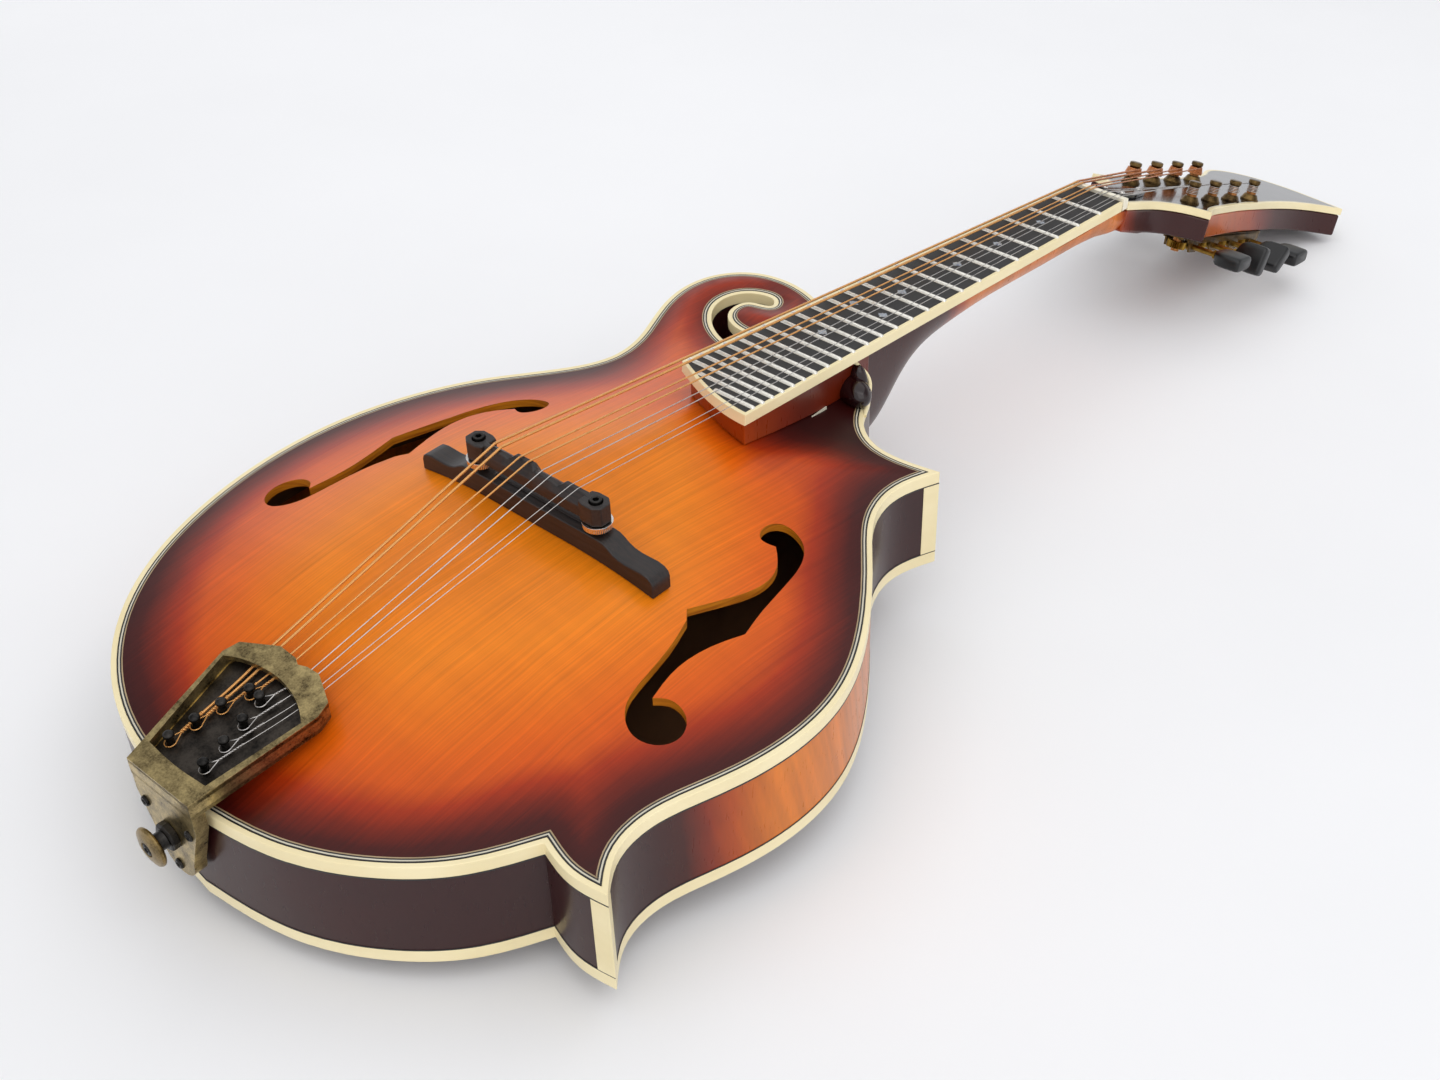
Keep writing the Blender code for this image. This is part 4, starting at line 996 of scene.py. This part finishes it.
for side, sign in (("bass", -1), ("treble", 1)):
    back, front = -HEAD_THICK - 1.5, -HEAD_THICK - 0.1
    x0, x1 = sorted((sign * (POST_ROW - 8.2), sign * (POST_ROW + 5.9)))
    s0, s1 = POST_FIRST - 8, POST_FIRST + 3 * POST_PITCH + 13.5
    strip = np.array([(x0, s0), (x1, s0), (x1, s1), (x0, s1)])
    plate_parts = [sheet([strip], back, front, turn=head_point)]
    for at in (POST_ROW - 7.4, POST_ROW + 5.4):
        wall = [(s0 + 8, -19.0), (s0 + 8, front), (s1 - 1, front), (s1 - 1, -19.0)]
        for i in range(3, -1, -1):
            middle = POST_FIRST + WORM_OFFSET + i * POST_PITCH
            wall += [(middle + 5.0, -19.0), (middle + 3.8, -23.4)]
            wall += [(middle - 3.8, -23.4), (middle - 5.0, -19.0)]

        def rail_turn(s, n, x, at=at, sign=sign):
            return head_point(sign * (at + x), s, n)

        plate_parts.append(sheet([np.array(wall)[::-1]], -0.5, 0.5, turn=rail_turn))
    for s in (s0 + 3.5, s1 - 3.5):
        for x in (x0 + 2.5, x1 - 2.5):
            screw = [(1.7, back), (1.6, back - 0.6), (0.9, back - 1.0), (0.3, back - 1.05)]
            plate_parts.append(lathe(screw, 16, head_frame(x, s)))
    node = side + "_tuner_plate"
    piece(side + "_plate", plate_parts, DARK_BRONZE, stands_for=node, bevel=0.2)
    for i in range(4):
        s = POST_FIRST + i * POST_PITCH
        frame_at = head_frame(sign * POST_ROW, s)
        stem = [(2.0, -24.0), (2.0, -22.8), (2.4, -22.6), (2.4, 4.0), (2.3, 5.2), (2.3, 7.6)]
        stem = lathe(stem, 28, frame_at, 2)
        cap = [(2.3, 7.5), (2.7, 8.2), (3.0, 8.5), (3.0, 9.7), (2.8, 10.1), (2.2, POST_TOP)]
        cap = lathe(cap, 28, frame_at)
        turns = 2 * math.pi * np.arange(96) / 96
        radii = 4.15 + 0.42 * np.clip(1.6 * np.cos(24 * turns), -1, 1)
        gear = np.stack([radii * np.cos(turns), radii * np.sin(turns)], 1)
        wheel = sheet([gear], -22.5, -19.1, turn=frame_at)
        wheel = (wheel[0], wheel[1], [1] * len(wheel[2]))
        body = f"{side}_post_{i + 1}"
        looks = [DARK_BRONZE, WORM, POST]
        node = f"{side}_tuner_post_{i + 1}"
        name = f"{side}_string_post_{i + 1}"
        piece(name, [stem, cap, wheel], looks, body, node, sharp=30)

        along = s + WORM_OFFSET
        rest = math.radians(BUTTON_TURNS[i])

        def shaft_point(x, u, v, sign=sign, along=along):
            return head_point(sign * x, along + u, WORM_BACK + v)

        rings = []
        for x in np.linspace(12.4, 20.8, 57):
            fade = min(1.0, (x - 12.4) / 0.8, (20.8 - x) / 0.8)
            ring = []
            for j in range(20):
                t = 2 * math.pi * j / 20
                r = 1.75 + 0.6 * fade * (0.5 + 0.5 * math.cos(2 * math.pi * x / 1.55 - t))
                ring.append(shaft_point(x, r * math.cos(t), r * math.sin(t)))
            rings.append(ring)
        worm = loft(rings, 1)
        rod = [(1.3, 8.4), (1.4, 12.4), (1.4, 33.4), (2.2, 33.6), (2.2, 34.6), (1.6, 34.8), (1.6, 36.2)]
        rod = lathe(rod, 20, lambda a, b, x, f=shaft_point: f(x, a, b), 1)
        sections = [(BUTTON_IN - 0.6, 3.2, 2.6), (BUTTON_IN + 0.2, 5.0, 2.9), (BUTTON_IN + 1.5, 6.4, 3.3)]
        sections += [(BUTTON_IN + 4, 7.2, 3.5), (BUTTON_IN + 8, 7.4, 3.5), (BUTTON_OUT - 1.6, 7.2, 3.4)]
        sections += [(BUTTON_OUT - 0.5, 6.9, 3.2), (BUTTON_OUT, 6.2, 2.6)]
        rings = []
        for x, wide, deep in sections:
            ring = []
            for j in range(40):
                t = 2 * math.pi * (j + 0.5) / 40
                a = wide * math.copysign(abs(math.cos(t)) ** 0.42, math.cos(t))
                b = deep * math.copysign(abs(math.sin(t)) ** 0.42, math.sin(t))
                u = a * math.cos(rest) - b * math.sin(rest)
                v = a * math.sin(rest) + b * math.cos(rest)
                ring.append(shaft_point(x, u, v))
            rings.append(ring)
        looks = [BUTTON_BLACK, WORM]
        node = f"{side}_button_{i + 1}"
        body = f"{side}_knob_{i + 1}"
        piece(f"{side}_key_{i + 1}", [loft(rings), worm, rod], looks, body, node, sharp=45)


# Tailpiece: sloping cover with a window, walls, dark bed, pins and the plate down the tail.
def tail_top(y):
    return 11.0 + 0.172 * (y + 506.0)


def tail_level(drop):
    return lambda at: tail_top(at[:, 1]) - drop


COVER = [(-14.8, -506), (16, -506), (22.5, -462), (20.8, -456.5), (9.5, -450.9), (4, -451.2), (0.8, -452.3)]
COVER += [(-2, -450.9), (-10, -450.6), (-22.8, -457), (-24.4, -462.5)]
COVER = np.array(COVER, float) + (BODY_LEAN, 0)
WINDOW_RUNS = [
    [(-14.0, -498.2), (-4, -498.9), (4, -498.9), (14.4, -498.2)],
    [(14.4, -498.2), (20.0, -466.5)],
    [(20.0, -466.5), (15.5, -463.6), (8, -460.6), (0, -459.2), (-9, -459.6), (-17, -461.2), (-22.8, -463.6)],
    [(-22.8, -463.6), (-14.0, -498.2)],
]
WINDOW = outline(WINDOW_RUNS, 0.05) + (BODY_LEAN, 0)
lid = sheet([COVER, WINDOW], tail_level(1.7), tail_level(0))
wall_outer = [(20.8, -456.5), (22.5, -462), (16, -506), (-14.8, -506), (-24.4, -462.5), (-22.8, -457)]
wall_inner = [(19.5, -456.3), (21.1, -462), (14.8, -504.2), (-13.6, -504.2), (-23.0, -462.5)]
wall_inner += [(-21.5, -456.7)]
walls = np.array(wall_outer[::-1] + wall_inner) + (BODY_LEAN, 0)


def cover_foot(at):
    return np.maximum(tail_top(at[:, 1]) - 6.2, top_surface(at) + 0.4)


sides = sheet([walls], cover_foot, tail_level(0.4))
floor_part = sheet([COVER], cover_foot, tail_level(4.7))
bed_part = sheet([inset(COVER, 1.9)], tail_level(4.9), tail_level(4.5))
bed_part = (bed_part[0], bed_part[1], [1] * len(bed_part[2]))
tail_pins = []
PINS = [(AT_PIN[k], PIN_FIRST + min(k, 7 - k) * PIN_STEP) for k in range(8)]
for x, y in PINS:
    level = tail_top(y)
    stem = [(1.4, -5.0), (1.3, -2.0), (1.3, -1.3), (1.65, -1.0), (1.85, -0.4), (1.8, 0.1), (1.4, 0.6)]
    stem = [(r, level + z) for r, z in [*stem, (0.7, 0.85)]]
    tail_pins.append(lathe(stem, 24, lambda a, b, z, x=x, y=y: (x + a, y + b, z), 3))
angles = np.linspace(math.pi, 2 * math.pi, 33)
drop = [(8.2 * math.cos(t), -20.5 + 8.2 * math.sin(t)) for t in angles]
drop = np.array([(-14.7, 6.0), (-14.7, -1.5)] + drop + [(15.9, -1.5), (15.9, 10.2), (-14.7, 10.2)])


def tail_plate_turn(x, z, depth):
    return (x + BODY_LEAN, -501.3 - depth, z)


plate = sheet([drop], 0, 4.6, turn=tail_plate_turn)
screws = []
for x, z in ((-10.8, -4.6), (11.4, -4.6), (-0.6, -25.2)):
    head = [(1.9, 4.4), (1.9, 5.0), (1.5, 5.5), (0.9, 5.4), (0.7, 5.0)]
    screws.append(lathe(head, 20, lambda a, b, d, x=x, z=z: tail_plate_turn(x + a, z + b, d), 3))
parts = [lid, sides, floor_part, bed_part, *tail_pins, plate, *screws]
looks = [BRONZE, BED, DARK_BRONZE, DARK_STEEL]
piece("tail_casting", parts, looks, stands_for="tailpiece", bevel=0.45)


def strap_frame(a, b, y):
    return (a + BODY_LEAN, y, -11.5 + b)


collar = lathe([(4.6, -505.8), (4.9, -506.2), (4.9, -508.2), (4.3, -508.9)], 8, strap_frame, 1)
stem = lathe([(3.3, -508.5), (3.0, -509.2), (3.0, -511.4), (3.6, -512.0)], 32, strap_frame, 1)
knob = [(3.4, -511.8), (6.3, -512.3), (6.9, -512.7), (7.0, -513.3), (6.6, -513.9), (4.8, -514.6)]
knob = lathe(knob + [(3.0, -514.9), (2.6, -514.9), (2.4, -514.3)], 40, strap_frame)
button_screw = [(2.3, -514.3), (2.2, -514.8), (1.5, -515.1), (0.9, -515.0), (0.8, -514.5)]
button_screw = lathe(button_screw, 20, strap_frame, 1)
parts = [collar, stem, knob, button_screw]
piece("strap_knob", parts, [KNOB, DARK_STEEL], stands_for="strap_button", bevel=0.2, sharp=30)

# Strings: loop and twist at the pin, speaking length, wrap on the post.
for k, name in enumerate(STRING_NAMES):
    radius = STRING_RADII[k]
    row = min(k, 7 - k)
    sign = -1 if k < 4 else 1
    px, py = PINS[k]
    slope = (AT_MOUTH[k] - px) / (-452.0 - py)
    ahead = np.array((slope, 1.0)) / math.hypot(slope, 1.0)
    aside = np.array((-ahead[1], ahead[0]))
    pin = np.array((px, py))

    def low(y):
        return tail_top(y) - 3.3

    loose = max(radius * 0.75, 0.2)
    turns = np.linspace(0.3 * math.pi, 1.7 * math.pi, 22)
    loop = [pin + 1.95 * (math.cos(t) * ahead + math.sin(t) * aside) for t in turns]
    knot = 4.6
    loop_path = np.vstack([[pin + ahead * knot], loop, [pin + ahead * knot]])
    loop_path = np.c_[loop_path, [low(y) for y in loop_path[:, 1]]]
    parts = [tube(loop_path, 0.22, 6)]
    twist_end = knot + (8.5 if row < 3 else 5.0)
    for phase in (0.0, math.pi):
        path = []
        for d in np.linspace(knot - 0.4, twist_end, 60):
            a = 2 * math.pi * (d - knot) / 1.9 + phase
            at = pin + ahead * d + aside * loose * 0.95 * math.cos(a)
            path.append((at[0], at[1], low(at[1]) + loose * 0.95 * math.sin(a)))
        parts.append(tube(path, loose, 6))
    start = pin + ahead * (twist_end - 1.5)
    mouth_y = -452.0
    tail_end = (px + slope * (mouth_y - py), mouth_y, tail_top(mouth_y) - 2.4)
    over = (AT_SADDLE[k], SADDLE_Y, STRING_AT_SADDLE + radius)
    nut_at = (AT_NUT[k], 1.2, 0.6 + radius)
    pieces = [(start[0], start[1], low(start[1]))]
    pieces += [(px + slope * (-457.0 - py), -457.0, tail_top(-457.0) - 3.1)]
    look = WOUND if k < 4 else WIRE
    parts.append(tube(smooth(pieces + [tail_end], 2.0), radius, 8))
    marks = {"run": lambda p: p[:, 1]}
    piece(f"loop_{name}", parts, look, sharp=60, marks=marks)

    tail = np.linspace(tail_end, over, 24)
    behind = piece(f"after_{name}", [tube(tail, radius, 10)], look, None, sharp=60, marks=marks)
    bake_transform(behind)
    speaking = np.linspace(over, nut_at, 40)
    wire = [tube(speaking, radius, 10)]
    long = piece(f"string_{name}_wire", wire, look, None, sharp=60, marks=marks)
    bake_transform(long)
    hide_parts("string_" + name)

    s = POST_FIRST + row * POST_PITCH
    middle = sign * POST_ROW
    count = 6 if k < 4 else 5
    path = [nut_at]
    for j in range(count * 18 + 1):
        t = 2 * math.pi * j / 18
        share = j / (count * 18)
        r = 2.45 + radius + (0.9 if k < 4 else 0.4) * share
        n = 8.0 - radius - share * (7.4 - 3.7 - radius)
        path.append(head_point(middle - sign * r * math.cos(t), s + r * math.sin(t), n))
    wrap_look = COPPER if k < 4 else WIRE
    marks = {"run": lambda p: p[:, 2] * 2}
    piece(f"wrap_{name}", [tube(path, radius, 8)], wrap_look, sharp=60, marks=marks)


# Floor, light and camera.
def paper_floor():
    """Pale paper that glows a little far from the lamps, so that no band shows where it meets the sky."""
    look = Look("paper_floor", Emission_Color=(1.0, 1.0, 1.0, 1.0))
    cloud = look.noise((3, 3, 3), 4.0)
    colour = look.ramp(cloud, [(0.3, tone(243, 243, 244)), (0.7, tone(247, 247, 248))])
    distance = look.add("VectorMath", {0: look.coords}, operation="LENGTH").outputs["Value"]
    fade = {"Value": distance, "From Min": 0.9, "From Max": 3.2, "To Max": 0.36}
    glow = look.add("MapRange", fade, interpolation_type="SMOOTHSTEP").outputs["Result"]
    look.put(look.shader, {"Emission Strength": glow})
    return look.finish(colour, look.span(cloud, 0.75, 0.85), cloud, 0.01, 0.0002)


FLOOR_HALF = 30.0
FLOOR_ROWS = 41
FLOOR_RISE = 0.02
across = np.linspace(-FLOOR_HALF, FLOOR_HALF, FLOOR_ROWS)
grid = [(x, y, FLOOR_RISE * (math.hypot(x, y) / FLOOR_HALF) ** 4) for y in across for x in across]
quads = []
for i in range(FLOOR_ROWS - 1):
    for k in range(i * FLOOR_ROWS, (i + 1) * FLOOR_ROWS - 1):
        quads.append((k, k + 1, k + FLOOR_ROWS + 1, k + FLOOR_ROWS))
sweep = bpy.data.meshes.new("floor")
sweep.from_pydata(grid, [], quads)
sweep.materials.append(paper_floor())
floor = bpy.data.objects.new("floor", sweep)
bpy.context.scene.collection.objects.link(floor)

world = bpy.data.worlds.new("studio")
world.use_nodes = True
sky = world.node_tree.nodes["Background"]
tree = world.node_tree
direction = tree.nodes.new("ShaderNodeTexCoord").outputs["Generated"]
split = tree.nodes.new("ShaderNodeSeparateXYZ")
dusk = tree.nodes.new("ShaderNodeValToRGB")
tree.links.new(direction, split.inputs[0])
tree.links.new(split.outputs[2], dusk.inputs[0])
toward = tree.nodes.new("ShaderNodeVectorMath")
toward.operation = "DOT_PRODUCT"
toward.inputs[1].default_value = (0.68, -0.73, 0.0)
tree.links.new(direction, toward.inputs[0])
front = tree.nodes.new("ShaderNodeValToRGB")
tree.links.new(toward.outputs["Value"], front.inputs[0])
front.color_ramp.elements[0].position = 0.0
front.color_ramp.elements[0].color = (0.0, 0.0, 0.0, 1)
front.color_ramp.elements[1].position = 0.45
front.color_ramp.elements[1].color = (1.0, 1.0, 1.0, 1)
both = tree.nodes.new("ShaderNodeMix")
both.data_type = "RGBA"
both.inputs[7].default_value = (1.0, 1.0, 1.02, 1)
tree.links.new(front.outputs[0], both.inputs[0])
tree.links.new(dusk.outputs[0], both.inputs[6])
tree.links.new(both.outputs[2], sky.inputs["Color"])
dusk.color_ramp.elements[0].position = 0.2
dusk.color_ramp.elements[0].color = (0.92, 0.93, 0.95, 1)
dusk.color_ramp.elements[1].position = 0.45
dusk.color_ramp.elements[1].color = (0.36, 0.37, 0.39, 1)
sky.inputs["Strength"].default_value = 1.0
bpy.context.scene.world = world


def softbox(name, at, target, size, power):
    light = bpy.data.lights.new(name, "AREA")
    light.shape = "RECTANGLE"
    light.size, light.size_y = size
    light.energy = power
    lamp = bpy.data.objects.new(name, light)
    bpy.context.scene.collection.objects.link(lamp)
    forward = np.array(target, float) - at
    forward /= np.linalg.norm(forward)
    right = np.cross(forward, (0, 0, 1.0))
    right /= np.linalg.norm(right)
    up = np.cross(right, forward)
    turn = np.eye(4)
    turn[:3, 0], turn[:3, 1], turn[:3, 2], turn[:3, 3] = right, up, -forward, at
    lamp.matrix_world = Matrix(turn.tolist())


softbox("overhead", (-0.15, 0.25, 1.7), (0, 0, 0), (2.4, 2.4), 13.5)
softbox("front", (0.9, -0.7, 1.3), (0, 0, 0), (1.5, 1.5), 5.0)
softbox("window", (-1.5, 0.9, 0.6), (0, 0, 0), (1.4, 0.7), 1.5)

# The photograph's camera in the body frame: place in millimetres, then heading, tilt and roll in degrees.
CAMERA_AT = (375.9, -666.0, 388.3)
CAMERA_ANGLES = (132.9560, -38.1394, -1.9853)
CAMERA_LENS = 44.951
camera = bpy.data.objects.new("camera", bpy.data.cameras.new("camera"))
camera.data.sensor_width = 36.0
camera.data.lens = CAMERA_LENS
camera.data.clip_start = 0.02
heading, tilt, roll = np.radians(CAMERA_ANGLES)
look = np.array([math.cos(tilt) * math.cos(heading), math.cos(tilt) * math.sin(heading), math.sin(tilt)])
level = np.array([math.sin(heading), -math.cos(heading), 0.0])
above = np.cross(level, look)
side_axis = level * math.cos(roll) + above * math.sin(roll)
axes = turned_to_rest(np.array([side_axis, np.cross(look, side_axis), look]))
pose = np.eye(4)
pose[:3, 0], pose[:3, 1], pose[:3, 2] = axes[0], -axes[1], -axes[2]
pose[:3, 3] = place([CAMERA_AT])[0]
camera.matrix_world = Matrix(pose.tolist())
bpy.context.scene.collection.objects.link(camera)
bpy.context.scene.camera = camera
bpy.context.scene.view_settings.view_transform = "Standard"
